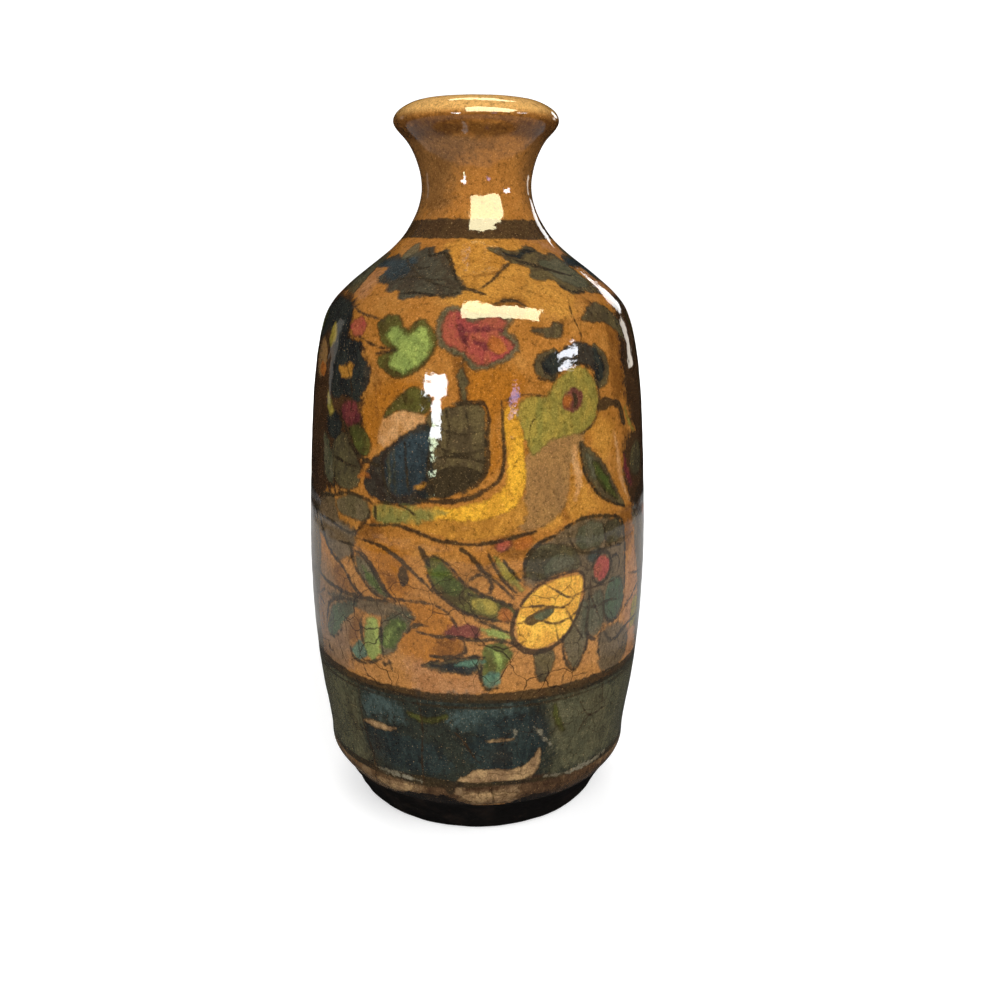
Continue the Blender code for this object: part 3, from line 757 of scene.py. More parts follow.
            (-25.2, 88), (-26, 84.6), (-24, 82.4), (-20, 81.4), (-15, 81.4), (-11, 82.8), (-9.4, 86),
            (-9.4, 90), (-9.6, 95)]),
        ("wingBlue", "wash", [(-11, 97), (-14.4, 95.8), (-17.6, 93.6), (-19.8, 91), (-20.4, 87),
            (-18, 83.6), (-14, 84.2), (-11.4, 87), (-10.6, 92)]),
        ("greyOlive", "brush", 0.35, [(-19.6, 92), (-19.2, 88), (-19.4, 83.6)]),
        ("greyOlive", "brush", 0.3, [(-18.4, 93), (-18, 88.4), (-17.8, 84)]),
        ("darkOlive", "wash", [(-10, 101), (-8, 101.6), (-5, 102.5), (-2, 102.9), (1, 102.4), (1.7, 100),
            (1.8, 95), (1.5, 90), (0.4, 87.6), (-2, 86), (-5, 84.4), (-9, 83.3), (-12.6, 83.8), (-13, 87),
            (-10.5, 92)]),
        ("ink", "wash", [(-9.6, 88), (-6, 90), (-2, 90), (0.8, 88.6), (-1.4, 86), (-5, 84.2), (-9, 83.6),
            (-11, 85)]),
        ("darkOlive", "wash", [(-7.6, 88), (-4, 88.8), (-1.6, 88), (-4, 86), (-7.6, 85.8)]),
        ("amberGold", "brush", (0.5, 1.3, 0.4), [(-13.4, 85.2), (-11.4, 85.8), (-9.4, 86.8)]),
        ("ink", "brush", (1.3, 0.7, 1.3, 0.9), [(-5, 102.8), (1.8, 102.6), (2.1, 96), (1.9, 90),
            (0.2, 86.8), (-3, 84.6)]),
        ("ink", "brush", 1.0, [(-13.4, 82.8), (-8, 82.7), (-4, 83), (0, 84.2), (3, 86)]),
        ("ink", "brush", 0.6, [(-9.4, 100), (-9.8, 94), (-10.4, 89), (-10, 84)]),
        ("ink", "brush", 0.5, [(-8.6, 98.4), (-4, 96.8), (1, 97.6)]),
        ("ink", "brush", 0.5, [(-9, 94.8), (-5, 92.8), (1.4, 93.8)]),
        ("ink", "brush", 0.6, [(-9, 91.6), (-4, 92.2), (1.4, 91)]),
        ("ink", "brush", 0.45, [(-6.6, 101.4), (-5.8, 97), (-6.8, 93)]),
        ("ink", "brush", 0.45, [(-2.6, 102), (-1.8, 98), (-2.6, 94)]),
        ("ink", "brush", 0.5, [(-21, 90), (-20.4, 86), (-19, 83)]),
        ("ink", "brush", 0.5, [(-15.6, 94.6), (-15.2, 89), (-14.6, 84.4)]),
        ("ink", "brush", (0.5, 0.8, 0.9, 0.6), [(5.2, 103.4), (5.5, 96), (5.3, 89.4), (4.2, 87),
            (1, 85.2), (-2, 83.8)]),
    ],
    "bird": [
        ("mauve", "wash", [(10, 92), (12, 93.6), (15, 95.4), (19, 96.2), (23, 96.4), (24.4, 94.6),
            (22.6, 92), (20.6, 89), (20.2, 84), (18.6, 80.4), (17.4, 79), (14, 77), (11.6, 76.2),
            (8, 77.2), (8.4, 81), (10, 85)]),
        ("goldAmber", "wash", [(20.4, 93), (22.6, 93.4), (23, 89), (24.6, 85), (28, 81.4), (32, 79),
            (26, 78.4), (21, 77.6), (20.2, 82), (21.4, 87)]),
        ("paleOrange", "brush", (1.0, 2.2, 1.0), [(22, 93.6), (22, 90), (22.8, 86), (22, 82)]),
        ("goldAmber", "wash", [(12.6, 78), (14.4, 80), (15.6, 82), (17.4, 80.6), (18.2, 77.6),
            (15.6, 76.4)]),
        ("stain", "brush", 1.6, [(18.4, 89), (17.6, 85), (18, 81), (20, 78)]),
        ("amberGold", "wash", [(-15, 77.8), (-10, 79.2), (0, 79), (6, 80.6), (9, 83.4), (10.4, 81),
            (8.6, 77), (3, 75.2), (-4, 74.8), (-10, 75.8), (-14, 76.9)]),
        ("gold", "wash", [(5.6, 100.8), (6.6, 102.6), (8.2, 101.6), (9.4, 98.4), (10.1, 92), (10.2, 87),
            (9.2, 83.4), (6.6, 80.9), (3, 79.5), (-1, 78.8), (-6, 78.9), (-10, 79.6), (-9.6, 80.6),
            (-5, 81.4), (-1, 82.2), (2.4, 83.2), (5, 85.4), (6.1, 88), (6.1, 94)]),
        ("oliveGold", "wash", [(-23.6, 80), (-20, 80.9), (-15, 81), (-10, 81), (-6, 80.4), (-9, 79.2),
            (-13, 78), (-17, 77.3), (-22.6, 77.6)]),
        ("greyOlive", "wash", [(-35.6, 79), (-33, 81), (-29, 81.8), (-25, 80.8), (-24, 78.5), (-26, 76.6),
            (-30, 76.6), (-34, 77.2)]),
        ("stain", "wash", [(-24, 77.6), (-22, 78.2), (-21, 76.8), (-23, 76)]),
        ("ink", "brush", 0.8, [(-44, 79.6), (-38, 80.2), (-35, 80.8), (-32, 81.9), (-28, 82),
            (-24.5, 81.2), (-22.8, 80.3)]),
        ("ink", "brush", 0.5, [(-23, 81.2), (-18, 81.3), (-15, 80.6), (-13, 79.4)]),
        ("ink", "brush", 0.7, [(-22.8, 80.6), (-22.8, 79), (-22.6, 77.6)]),
        ("ink", "brush", 0.5, [(-24.2, 80.2), (-24.8, 77.6), (-26.6, 76), (-28.4, 73)]),
        ("ink", "brush", (0.6, 1.0, 0.8, 1.0), [(-26, 76), (-21, 76.4), (-18, 76.9), (-15, 76.5),
            (-12, 75.6), (-9, 74.6), (-5, 74), (0, 73.8), (5, 74.5), (9, 75.4), (12.4, 76)]),
        ("ink", "brush", 0.7, [(-44, 74.4), (-36, 74.2), (-29, 73.6), (-26, 75.6)]),
        ("stain", "wash", [(-27, 75.8), (-24, 76), (-21, 75.6), (-22, 73), (-25, 72.6), (-28, 73)]),
        ("olive", "wash", [(8.8, 99.6), (9.2, 102.8), (11, 104.3), (14, 104), (16, 104.8), (17.5, 106.5),
            (19.5, 108.2), (22, 109.5), (25, 109.5), (27, 108.2), (28.5, 105.8), (29.1, 102.6),
            (28.6, 100), (27, 97.8), (24.5, 96.3), (21, 95.6), (17, 95.4), (14, 93.8), (12, 92.2),
            (10.8, 93.6), (10, 97)]),
        ("oliveGold", "wash", [(10, 99), (11, 102.6), (14, 102.4), (16, 99), (14, 96), (11.4, 95)]),
        ("plum", "wash", [(19, 102), (19.8, 104.6), (22, 105.6), (24.2, 104.4), (24.4, 102),
            (22.4, 100.8), (20, 100.8)]),
        ("orange", "wash", [(19.2, 102.6), (19.8, 104.2), (21.2, 104), (21, 101.8), (19.8, 101.4)]),
        ("ink", "brush", 0.9, [(21.8, 104.4), (22.6, 103.2), (22, 101.6)]),
        ("ink", "wash", [(28.4, 100.4), (30, 102.5), (32, 102.9), (34, 101.9), (36.5, 101.7), (38.5, 99),
            (39.3, 95.6), (38, 96), (36.8, 99), (34.4, 100.5), (31, 100)]),
        ("darkOlive", "wash", [(12.8, 109), (13.3, 112), (15, 113.2), (19, 112.8), (19, 109.4),
            (17, 107.4), (15, 107.6)]),
        ("darkOlive", "wash", [(29, 105.2), (31, 104.8), (33.2, 106.4), (33.6, 109.4), (32, 112.6),
            (29, 114.2), (29, 110)]),
        ("blueBlack", "wash", [(14.6, 110), (15.6, 112.2), (18, 112.7), (21, 114), (25, 114.8),
            (28.5, 113.9), (31, 111.8), (32, 109), (31.4, 107), (30, 105.8), (28.2, 108.4), (25, 110.2),
            (21.5, 110.2), (19, 109.3), (17, 108.2)]),
        ("ink", "brush", 0.6, [(13.4, 108), (16.6, 107.2), (19, 109), (22, 110.2), (25.6, 110),
            (28, 108.3), (29.4, 104.6), (29.2, 100.4), (27, 97.4), (23.6, 95.7)]),
        ("ink", "brush", 0.4, [(5.8, 103.6), (10, 104.6), (15, 104.2)]),
    ],
    "rightLeaf": [
        ("darkOlive", "wash", [(23.2, 94), (25.5, 92.8), (28, 90.8), (30, 88.8), (32, 86.5), (34, 83.7),
            (36, 80.7), (38, 77.9), (35.5, 78.5), (33, 79.5), (30.5, 80.7), (28, 82.7), (26, 85.2),
            (24.3, 88), (23.8, 90.5)]),
        ("greyOlive", "wash", [(25, 91.4), (27.6, 89.6), (28.6, 87), (27.4, 85.4), (25.6, 88)]),
        ("darkGreen", "wash", [(27, 89.6), (29.6, 87.8), (32, 84.8), (34, 82), (35.4, 80), (32.4, 81.2),
            (29.6, 83.4), (28, 86)]),
        ("leafGreen", "brush", (0.4, 1.8, 0.4), [(28, 88), (30.4, 85.2), (33, 81.8)]),
        ("ink", "brush", 0.7, [(23.4, 94.2), (23.6, 90), (24.6, 87), (27, 83.6), (30, 80.9), (33, 79.5),
            (38.2, 77.6)]),
        ("paleOrange", "brush", (0.6, 1.6, 0.6), [(34, 95), (35.5, 90), (36.2, 86), (38, 82),
            (40.4, 78.6)]),
        # umber carried out to the right edge: painted shade where the side turns from the light
        ("umberAndEdgeShade", "wash", [(41, 93.4), (38.6, 92), (37.4, 88.5), (37.6, 85), (39, 81.5), (41, 78.3),
            (44, 75.6), (48, 74), (58, 74), (58, 93), (46, 94)]),
        ("umberAndEdgeShade", "wash", [(43, 121), (42, 110), (43.6, 104), (43, 97), (47, 94), (58, 93), (58, 123),
            (48, 122.5)]),
        ("darkOlive", "wash", [(41.4, 87), (43, 90.6), (47, 91), (49.4, 88), (48, 84), (43.4, 84)]),
        ("plum", "brush", (0.8, 2.0, 1.2), [(38.2, 89), (39.4, 85.6), (42, 81.6)]),
        ("olive", "brush", 0.8, [(39.6, 99.6), (41.4, 96), (44.5, 93.8)]),
        ("stain", "wash", [(37, 101), (39, 96), (42, 93), (40, 92.6), (37.6, 95), (36.6, 98.6)]),
        ("stain", "wash", [(36, 76), (40, 78), (44, 75), (42, 70), (38.6, 66.4), (37.6, 70)]),
    ],
    "leftStems": [
        ("greyWashAndReflection", "wash", [(-44, 79), (-36, 79.6), (-34, 76), (-28.6, 74), (-29, 70), (-34, 66.4),
            (-40, 69), (-46, 74)]),
        ("ink", "brush", (0.6, 1.1, 0.7), [(-28, 72.4), (-22, 71.9), (-18, 70.3), (-14.5, 67.8),
            (-11.5, 65.3), (-9.3, 63)]),
        ("ink", "brush", 1.0, [(-46, 77), (-43, 73.4), (-40, 69.5), (-37, 67), (-33, 65), (-31, 63),
            (-28.5, 60.5), (-26, 59.3)]),
        ("ink", "brush", 0.6, [(-34, 70.4), (-30, 70.6), (-27, 70.2)]),
        ("stain", "wash", [(-36, 64.6), (-31, 63.4), (-28.4, 60.6), (-30, 59.6), (-36, 60.4)]),
        ("ink", "brush", (0.5, 1.1, 1.2, 0.6), [(-48, 61.6), (-40, 59.7), (-34, 59.2), (-28, 59),
            (-22, 59.5), (-17.6, 59.8)]),
        ("greyWashAndReflection", "wash", [(-40, 56.6), (-34, 58.4), (-28, 59.1), (-20, 59.5), (-15, 58.6),
            (-13.6, 56.6), (-18, 55.6), (-26, 56), (-33, 56.6)]),
        ("ink", "wash", [(-16.9, 65), (-16, 68.2), (-14.9, 67), (-15, 64.4), (-16, 63.4)]),
        ("stain", "brush", 0.8, [(-16, 64), (-18, 62.6), (-20, 62)]),
        ("ink", "brush", 0.6, [(-20, 60.8), (-15, 60.5), (-9, 60.2), (-7, 59.2), (-5, 57), (-4, 55)]),
        ("ink", "brush", 0.6, [(-50, 53.4), (-45, 55.4), (-41, 57.4)]),
        ("stain", "brush", 1.2, [(-44.6, 54), (-44, 51), (-43, 48.6)]),
    ],
    "leftLeaves": [
        ("greyOlive", "wash", [(-28.6, 68.4), (-25, 67.4), (-22, 64), (-19.4, 60.6), (-22.6, 61),
            (-26, 63.6), (-28.4, 66.4)]),
        ("leafGreen", "brush", (0.5, 2.2, 0.7), [(-26.6, 66.6), (-24, 64), (-20.8, 61.2)]),
        ("ink", "brush", (1.2, 0.7, 0.6), [(-29.8, 69.8), (-28.8, 66.4), (-26, 63), (-22.6, 60.6),
            (-19, 59.9)]),
        ("ink", "brush", (1.1, 1.4, 0.9), [(-29.4, 69.6), (-26, 68.8), (-23, 65.8), (-20.5, 62.4),
            (-17.4, 59.8)]),
        ("tealGrey", "wash", [(-28.6, 57.2), (-32, 56.8), (-36, 55.5), (-38.7, 53), (-40, 50),
            (-41.2, 47.3), (-39, 46.3), (-36.6, 47.8), (-34.6, 50.2), (-32, 53), (-29.4, 55.6)]),
        ("ink", "brush", (0.6, 1.1, 0.7), [(-42, 47), (-40.8, 51), (-39.2, 54.4), (-36, 56.6),
            (-32, 57.6), (-28, 58)]),
        ("ink", "brush", 0.4, [(-40.6, 46.4), (-37, 47), (-34, 50)]),
        ("stain", "wash", [(-31.5, 48), (-30.5, 51.4), (-28.3, 54.8), (-27.5, 53), (-28.4, 50),
            (-30, 47.5)]),
        ("yellowGreen", "wash", [(-26.4, 46), (-26.5, 50), (-25.8, 53), (-24.4, 55.2), (-22.8, 54.6),
            (-22.3, 51.5), (-21.9, 49), (-23, 46.4), (-25, 45)]),
        ("teal", "wash", [(-31, 45.8), (-29.5, 47.5), (-28, 48.6), (-26.5, 47.5), (-26, 45.5),
            (-27.5, 44.2), (-30, 44)]),
        ("ink", "brush", (0.5, 1.3, 0.8), [(-26.8, 55), (-27.4, 51.4), (-26.7, 48)]),
        ("ink", "brush", 0.8, [(-31.4, 46.2), (-30.6, 44), (-28, 43.4), (-25, 44), (-22.5, 45.4),
            (-20.5, 46.6)]),
        ("greyOlive", "wash", [(-22.4, 48.5), (-22, 52), (-21.2, 55), (-18, 57), (-15.6, 56.5),
            (-14.3, 54.5), (-16.5, 52), (-18, 49), (-20, 47), (-21.6, 46.8)]),
        ("leafGreen", "wash", [(-21.6, 48.6), (-20.6, 53), (-17.8, 56), (-15.4, 55.4), (-17, 52),
            (-18.8, 49)]),
        ("yellowGreen", "brush", (0.4, 1.0, 0.4), [(-20.6, 49.4), (-19.4, 52.4), (-17, 54.8)]),
        ("ink", "brush", (0.4, 1.1, 0.6), [(-21.4, 47.4), (-21.8, 50.6), (-21.4, 54.6)]),
        ("ink", "brush", (0.5, 1.2, 0.7), [(-15.4, 52.8), (-14.2, 54.4), (-12.8, 55.2), (-10.8, 55.4)]),
        ("greyOlive", "brush", 1.2, [(-18, 58.4), (-15.8, 57.4), (-13.4, 57)]),
        ("ink", "brush", 0.7, [(-21.4, 46.6), (-20.9, 44.2), (-19.9, 45.4), (-19.4, 43.6)]),
        ("ink", "brush", (0.5, 0.8, 1.2), [(-14.4, 54), (-12, 53.6), (-8, 53), (-5, 53.2), (-2, 52.6),
            (3, 52.6), (7.4, 51.6)]),
    ],
    "centreLeaves": [
        ("ink", "brush", (1.2, 1.6, 0.7), [(-12.2, 72.6), (-11, 70.6), (-9.8, 68.4)]),
        ("darkGreen", "wash", [(-10.7, 69.6), (-8.6, 71.2), (-6.4, 69.2), (-4, 66.3), (-1, 63.8),
            (3, 61.8), (7, 60.2), (8.6, 58.4), (6, 56.8), (2, 57.5), (-3, 59.2), (-6, 61.2), (-8.7, 63.8),
            (-10.3, 67)]),
        ("leafGreen", "wash", [(-9.2, 68), (-7.6, 69.4), (-5.4, 67), (-3, 64), (-5, 62.4), (-7.4, 64.2)]),
        ("olive", "wash", [(-1, 61.6), (1, 62.4), (4, 60.8), (4, 58.6), (0.6, 58.6)]),
        ("orange", "wash", [(4.2, 57.8), (5, 59.4), (7, 59.2), (7.2, 57.2), (5.4, 56.4)]),
        ("ink", "brush", 0.7, [(-10.5, 67), (-8.9, 63.6), (-6, 61), (-3, 59), (2, 57.3), (6.4, 56.5)]),
        ("ink", "brush", 0.6, [(-9.4, 71), (-6.2, 69.4), (-3.8, 66.5), (-0.8, 64), (3, 62), (8, 60)]),
        ("ink", "brush", (1.4, 0.9, 0.8), [(-3.4, 72.6), (-1.6, 71.4), (0.8, 68.4), (4, 65.5), (6.5, 63),
            (8, 61.4)]),
        ("ink", "brush", 0.8, [(-2.4, 64.2), (-1, 66.6), (1.4, 67), (3, 65.4), (2.6, 63.4), (0, 62.4),
            (-2, 63.2)]),
        ("olive", "brush", (1.0, 2.4, 1.4), [(3.8, 71), (6, 67.4), (9.4, 63.6)]),
        ("ink", "brush", 0.8, [(2.4, 71.6), (4.6, 67), (8, 63)]),
        ("ink", "brush", 0.6, [(5.2, 70.6), (7.2, 67.6), (10, 64.6)]),
        ("stain", "wash", [(2.6, 73.4), (5, 76), (9, 75.8), (12, 75), (11, 72), (8, 70.4), (5, 71.4)]),
        ("red", "wash", [(3.6, 73), (5, 74.8), (7, 74.4), (6.4, 72.6)]),
        ("orange", "wash", [(7.6, 73), (9, 75), (11.6, 74.6), (11, 72.8)]),
        ("plum", "wash", [(-7, 53.6), (-6, 55.4), (-3, 56.2), (0.4, 55.4), (0.8, 53.6), (-2, 52.9)]),
        ("stain", "wash", [(-9.6, 49), (-8, 52), (-4, 52.4), (-2.4, 50.4), (-4.6, 48.6)]),
        ("ink", "brush", 0.9, [(-10, 48.4), (-5, 48.6), (-2.4, 49.8), (-2.8, 52.2)]),
        ("yellowGreen", "brush", (0.9, 2.2, 1.2), [(0.8, 55), (4, 54), (7.2, 52.8)]),
        ("ink", "brush", 0.8, [(-0.6, 57.2), (3, 55.8), (6.6, 54)]),
        ("leafGreen", "wash", [(1, 50), (3, 51.9), (6, 51.4), (7.4, 49.5), (6.2, 46.5), (4.5, 44),
            (2.4, 42.6), (1, 43.8), (1.5, 46.5)]),
        ("yellowGreen", "brush", (0.8, 1.8, 0.8), [(2.8, 50.8), (4.6, 48), (4.2, 45)]),
        ("teal", "wash", [(1, 43.2), (2.2, 44.8), (4.6, 44.8), (5, 42.8), (3.4, 41.2), (1.6, 41.4)]),
        ("ink", "brush", 0.8, [(0.9, 46.6), (0.8, 43), (2, 40.9), (4.4, 41.2)]),
        ("darkOlive", "wash", [(-12, 46), (-9, 47.2), (-5, 48), (-2, 48.7), (1, 48.5), (2.2, 46.8),
            (0, 45), (-4, 44.6), (-8, 45)]),
        ("blueBlack", "wash", [(-10, 46.1), (-5, 47.2), (0, 47.4), (0, 45.8), (-5, 45.2)]),
        ("teal", "brush", (0.5, 1.5, 0.8), [(-4.6, 46.6), (-1.6, 47.2), (1.4, 47.6)]),
        ("ink", "brush", 0.7, [(-12, 46.1), (-5, 48.2), (1.6, 48.5)]),
    ],
    "budFlower": [
        ("bud", "wash", [(8.9, 59.2), (10.9, 61.8), (14, 64.1), (18, 65), (21, 65.2), (23.4, 64.7),
            (23.4, 61), (22.4, 57.5), (21.2, 54.5), (19.2, 52), (16.7, 50.7), (13.5, 49.9), (10.7, 50.3),
            (8.8, 52.3), (8.3, 54.8), (8.3, 57)]),
        ("fineInk", "brush", (1.0, 0.8, 0.7, 0.6, 0.5, 0.6, 0.9, 1.5, 1.4, 1.3),
         [(8.2, 58.6), (10.5, 62), (14, 64.7), (18, 65.7), (23.6, 65.4), (24.2, 61), (23, 56.8),
            (20.6, 52.8), (17.4, 50), (13.4, 49), (9.8, 49.8),
          (7.6, 52.4), (7.4, 56), (8.4, 59)]),
        ("fineInk", "brush", 0.4, [(13, 65.2), (17, 62.5), (20.5, 60.5), (25, 61.5), (30, 61.4), (36, 62)]),
        ("fineInk", "brush", 0.5, [(7, 59.2), (12, 59.6), (16, 59), (19.2, 58.5), (21.6, 60.2)]),
        ("fineInk", "brush", 0.5, [(8.6, 56), (11, 56.4), (14, 56), (17, 55), (19.5, 55.5), (22, 56.6),
            (24, 57.6)]),
        ("fineInk", "brush", 0.4, [(17, 55.2), (17.3, 53.4), (17.9, 51)]),
        ("fineInk", "brush", 0.4, [(19.2, 58.6), (20.6, 56), (22.6, 52.6), (24.4, 50)]),
        ("fineInk", "wash", [(9.9, 56.6), (11.4, 57.8), (14.6, 58.9), (16.8, 58.4), (15.4, 56.8),
            (13.2, 56), (11.2, 55.2)]),
        ("markGreen", "wash", [(12, 57), (14.6, 58.4), (16.6, 58.2), (15.2, 57), (13.6, 56.4)]),
    ],
    "cluster": [
        ("greyWashAndReflection", "wash", [(10, 64.5), (9.6, 68), (10.5, 71), (13, 73.4), (16, 74.4), (18, 75.8),
            (21, 76.6), (23, 77.4), (27, 77.2), (33, 76.3), (36.4, 74.6), (37.8, 71), (38, 66),
            (38.4, 60), (37, 54), (33, 51.6), (30, 52), (24.6, 50), (24, 60), (23.4, 65), (17, 66)]),
        ("darkOlive", "wash", [(10.4, 66), (10.2, 69), (11.6, 71.6), (14, 73), (18, 72.6), (22, 70.6),
            (23, 67), (18, 66.4), (13, 65.4)]),
        ("greyOlive", "wash", [(14, 67), (15, 69.6), (19, 70.4), (21.6, 68.6), (18, 67)]),
        ("greyOlive", "wash", [(22, 72), (23, 75.6), (26, 76.4), (30, 75), (30, 71.6), (26, 70.4)]),
        ("darkOlive", "wash", [(30.4, 71.6), (31, 75), (34.6, 75.4), (36.6, 72.6), (34.6, 70.4)]),
        ("slate", "wash", [(25, 68.4), (26, 69.8), (28.8, 69.4), (28.4, 67.8), (26, 67.4)]),
        ("ink", "brush", 1.0, [(10, 65.4), (9.7, 68), (10.8, 71.2), (13.4, 73.6), (17, 74.6)]),
        ("ink", "brush", 0.9, [(17.6, 75.4), (21, 76.8), (26, 77.6), (32, 76.6), (36.4, 75), (37.8, 71),
            (38.2, 64), (38.4, 58)]),
        ("ink", "brush", 0.7, [(20, 74.8), (21, 72), (25, 69.6), (31, 69.6), (36.6, 69.4)]),
        ("ink", "brush", 0.6, [(29.6, 75.6), (30.6, 72.4), (30.4, 69.6)]),
        ("red", "wash", [(26.9, 65), (27.6, 67.4), (29.5, 68.3), (31.4, 67.4), (31.9, 65), (30.6, 63),
            (28.4, 62.7)]),
        ("ink", "brush", 0.9, [(26.4, 66), (27.4, 68), (29.6, 69), (31.8, 67.9), (32.4, 65), (30.9, 62.5),
            (28.2, 62), (26.5, 64)]),
        ("stain", "wash", [(32.4, 65.4), (33.6, 67.2), (35.2, 66), (34.6, 63.6), (33, 63.4)]),
        ("ink", "brush", 0.5, [(32.2, 65), (33.4, 67.6), (35.6, 66.4), (35, 63.2)]),
    ],
    "lobes": [
        ("greyOlive", "wash", [(19.3, 52), (21, 55), (24, 59), (25.6, 58), (25.8, 51), (25, 47.4),
            (23.6, 44.4), (22.2, 43.3), (20.8, 45), (19.6, 48)]),
        ("greyOlive", "wash", [(26, 59.4), (29.6, 60), (30.4, 55), (29.4, 50.4), (27.4, 49.6), (26, 51)]),
        ("tealGrey", "wash", [(30.6, 59), (32, 61.6), (36, 61.6), (38, 58), (36.6, 53.6), (33.6, 52.2),
            (31, 53.8)]),
        ("ink", "brush", (0.5, 0.9, 1.0, 0.9), [(25.4, 62), (25.6, 56), (25.4, 51), (26.6, 49.6),
            (28.8, 49.2), (30.2, 51)]),
        ("ink", "brush", 0.8, [(19, 52), (19.2, 48), (20.4, 44.8), (22.2, 42.9), (24, 44.8), (25.3, 48),
            (25.8, 51)]),
        ("ink", "brush", 0.7, [(30.2, 58), (30.8, 54), (33.4, 51.8), (36.6, 52.8), (38.4, 57)]),
        ("ink", "brush", 0.5, [(24, 57.4), (28, 56.8), (31, 57.2), (36, 56.4)]),
        ("fineInk", "brush", 0.4, [(26, 64), (26.2, 60), (28, 56), (29.4, 53)]),
        ("darkOlive", "wash", [(12.5, 49), (12.7, 45), (13.3, 42.3), (14.5, 41.6), (16.4, 44.5),
            (17, 48.4)]),
        ("goldAmber", "wash", [(14.1, 46), (14.3, 49), (15.8, 49.2), (15.7, 46.6), (15, 45)]),
        ("olive", "wash", [(42.8, 50), (44, 54), (47.5, 53.6), (48, 49), (45.6, 46.6), (43.6, 47)]),
        ("greyWashAndReflection", "wash", [(29.6, 50), (33, 51), (38, 50), (42, 46), (41, 41), (30.4, 41), (29.4, 46)]),
        ("ink", "brush", 0.9, [(30.4, 51.4), (32.6, 48), (35, 47), (38, 48), (42, 49), (48, 49.2)]),
        ("ink", "brush", 0.5, [(29.8, 49.6), (29.4, 46), (30.4, 43)]),
        ("stain", "brush", 0.5, [(34.4, 53), (34, 50), (34.8, 47.4)]),
        ("fineInk", "brush", 0.4, [(20.6, 43.4), (19.6, 42), (19.4, 39.6)]),
    ],
    "hairCracks": [
        ("fineInk", "brush", 0.35, [(0, 62.6), (3, 61.6), (5, 60.6), (9, 59.4)]),
        ("fineInk", "brush", 0.35, [(-36.6, 47), (-35.6, 45), (-34.6, 43), (-33.4, 41.4)]),
        ("fineInk", "brush", 0.35, [(-27.6, 43.4), (-27, 41.8), (-26, 40.4)]),
        ("fineInk", "brush", 0.35, [(25, 34.4), (26.4, 32), (28.6, 29.8), (32, 29.9), (36, 30.4)]),
        ("fineInk", "brush", 0.35, [(28.6, 29.8), (27, 28.4), (25.6, 26.6)]),
        ("fineInk", "brush", 0.35, [(31.8, 38), (32.6, 34), (33, 30)]),
        ("fineInk", "brush", 0.4, [(-5, 30), (-2.6, 27), (-1, 24), (1, 21.6)]),
        ("fineInk", "brush", 0.4, [(-14.4, 40), (-13.2, 36), (-12.6, 30), (-13.4, 22), (-13.2, 15)]),
        ("fineInk", "brush", 0.4, [(-29.8, 37), (-30, 30), (-28.6, 22), (-27.6, 15), (-29, 10.6)]),
        ("fineInk", "brush", 0.35, [(20.6, 16), (21.8, 13.6), (22, 11)]),
        ("fineInk", "brush", 0.35, [(3.4, 15), (4, 12.6), (4.2, 10.4)]),
        ("fineInk", "brush", 0.35, [(-26, 76), (-28.4, 73), (-28.6, 69.8), (-31, 66), (-31, 62.6)]),
        ("fineInk", "brush", 0.35, [(26, 124), (24.6, 119.6), (25.6, 115), (24.4, 114)]),
        ("fineInk", "brush", 0.3, [(-33, 109), (-30.6, 104), (-31.4, 97)]),
        ("fineInk", "brush", 0.3, [(8, 91), (11, 95), (11.4, 98.4), (14.4, 101)]),
    ],
    "bandMarks": [
        # olive-grey on the band's sides, lightened as painted reflection of the pale floor
        ("bandOliveAndReflection", "wash", [(16.6, 37), (30, 37), (44, 37), (58, 36), (58, 16.4), (40, 16.6), (24, 17),
            (18.4, 17.6), (19.4, 22), (17, 27), (16.6, 32)]),
        ("bandOliveAndReflection", "wash", [(-58, 36), (-44, 36.6), (-31, 36.4), (-30, 30), (-31, 22), (-30, 17.6),
            (-44, 17), (-58, 16.6)]),
        ("bandTeal", "wash", [(-6, 33), (-3, 36), (4, 35.6), (10, 36.6), (11, 34.4), (6, 32.6), (0, 31.8),
            (-4, 31)]),
        ("bandTeal", "wash", [(-29, 31), (-28, 35.6), (-22, 36), (-18, 34.6), (-17, 31.6), (-22, 31)]),
        ("bandTeal", "brush", 1.2, [(-13, 38.4), (-6, 38.6), (2, 38.4)]),
        ("darkGreen", "brush", 1.6, [(-16, 33.6), (-11, 32.4), (-7, 34)]),
        ("darkGreen", "brush", 1.4, [(18, 35), (19, 31), (21, 28)]),
        ("bandBlue", "wash", [(-28, 27), (-22, 27.4), (-14, 27), (-8, 24), (-6, 20), (-14, 18.6),
            (-24, 19), (-29, 22)]),
        ("bandBlue", "wash", [(2, 33.4), (6, 34.4), (11, 34.6), (15, 33), (17, 29.4), (16.4, 25),
            (14, 23), (11.6, 21), (0, 21), (-2, 24), (-1, 29)]),
        ("paleMark", "brush", (0.4, 0.8, 0.4), [(13, 30.4), (14.8, 28.6), (16.4, 26.6), (18.4, 24)]),
        ("paleMark", "brush", 0.4, [(8.4, 30.6), (8.6, 29.4), (8.5, 28.6)]),
        ("buff", "brush", (0.7, 2.2, 1.4, 0.6), [(-29.6, 28), (-26, 28.2), (-22, 28.2), (-19.6, 28.8)]),
        ("buff", "brush", (0.4, 0.9, 0.4), [(2, 27.9), (4.6, 27.9), (8.4, 28.1)]),
        ("buff", "wash", [(-4.6, 17.2), (-3, 18.6), (-0.6, 20.1), (3, 20.3), (8, 20), (11.6, 20.8),
            (13.6, 22.8), (15, 24.9), (15.4, 22), (14.6, 19), (13, 17.4), (9, 17), (2, 16.9), (-3, 16.7)]),
        ("buff", "wash", [(-3.6, 13.4), (0, 14.4), (6, 14.2), (10, 13), (8, 11.2), (1, 10.8), (-3, 11.6)]),
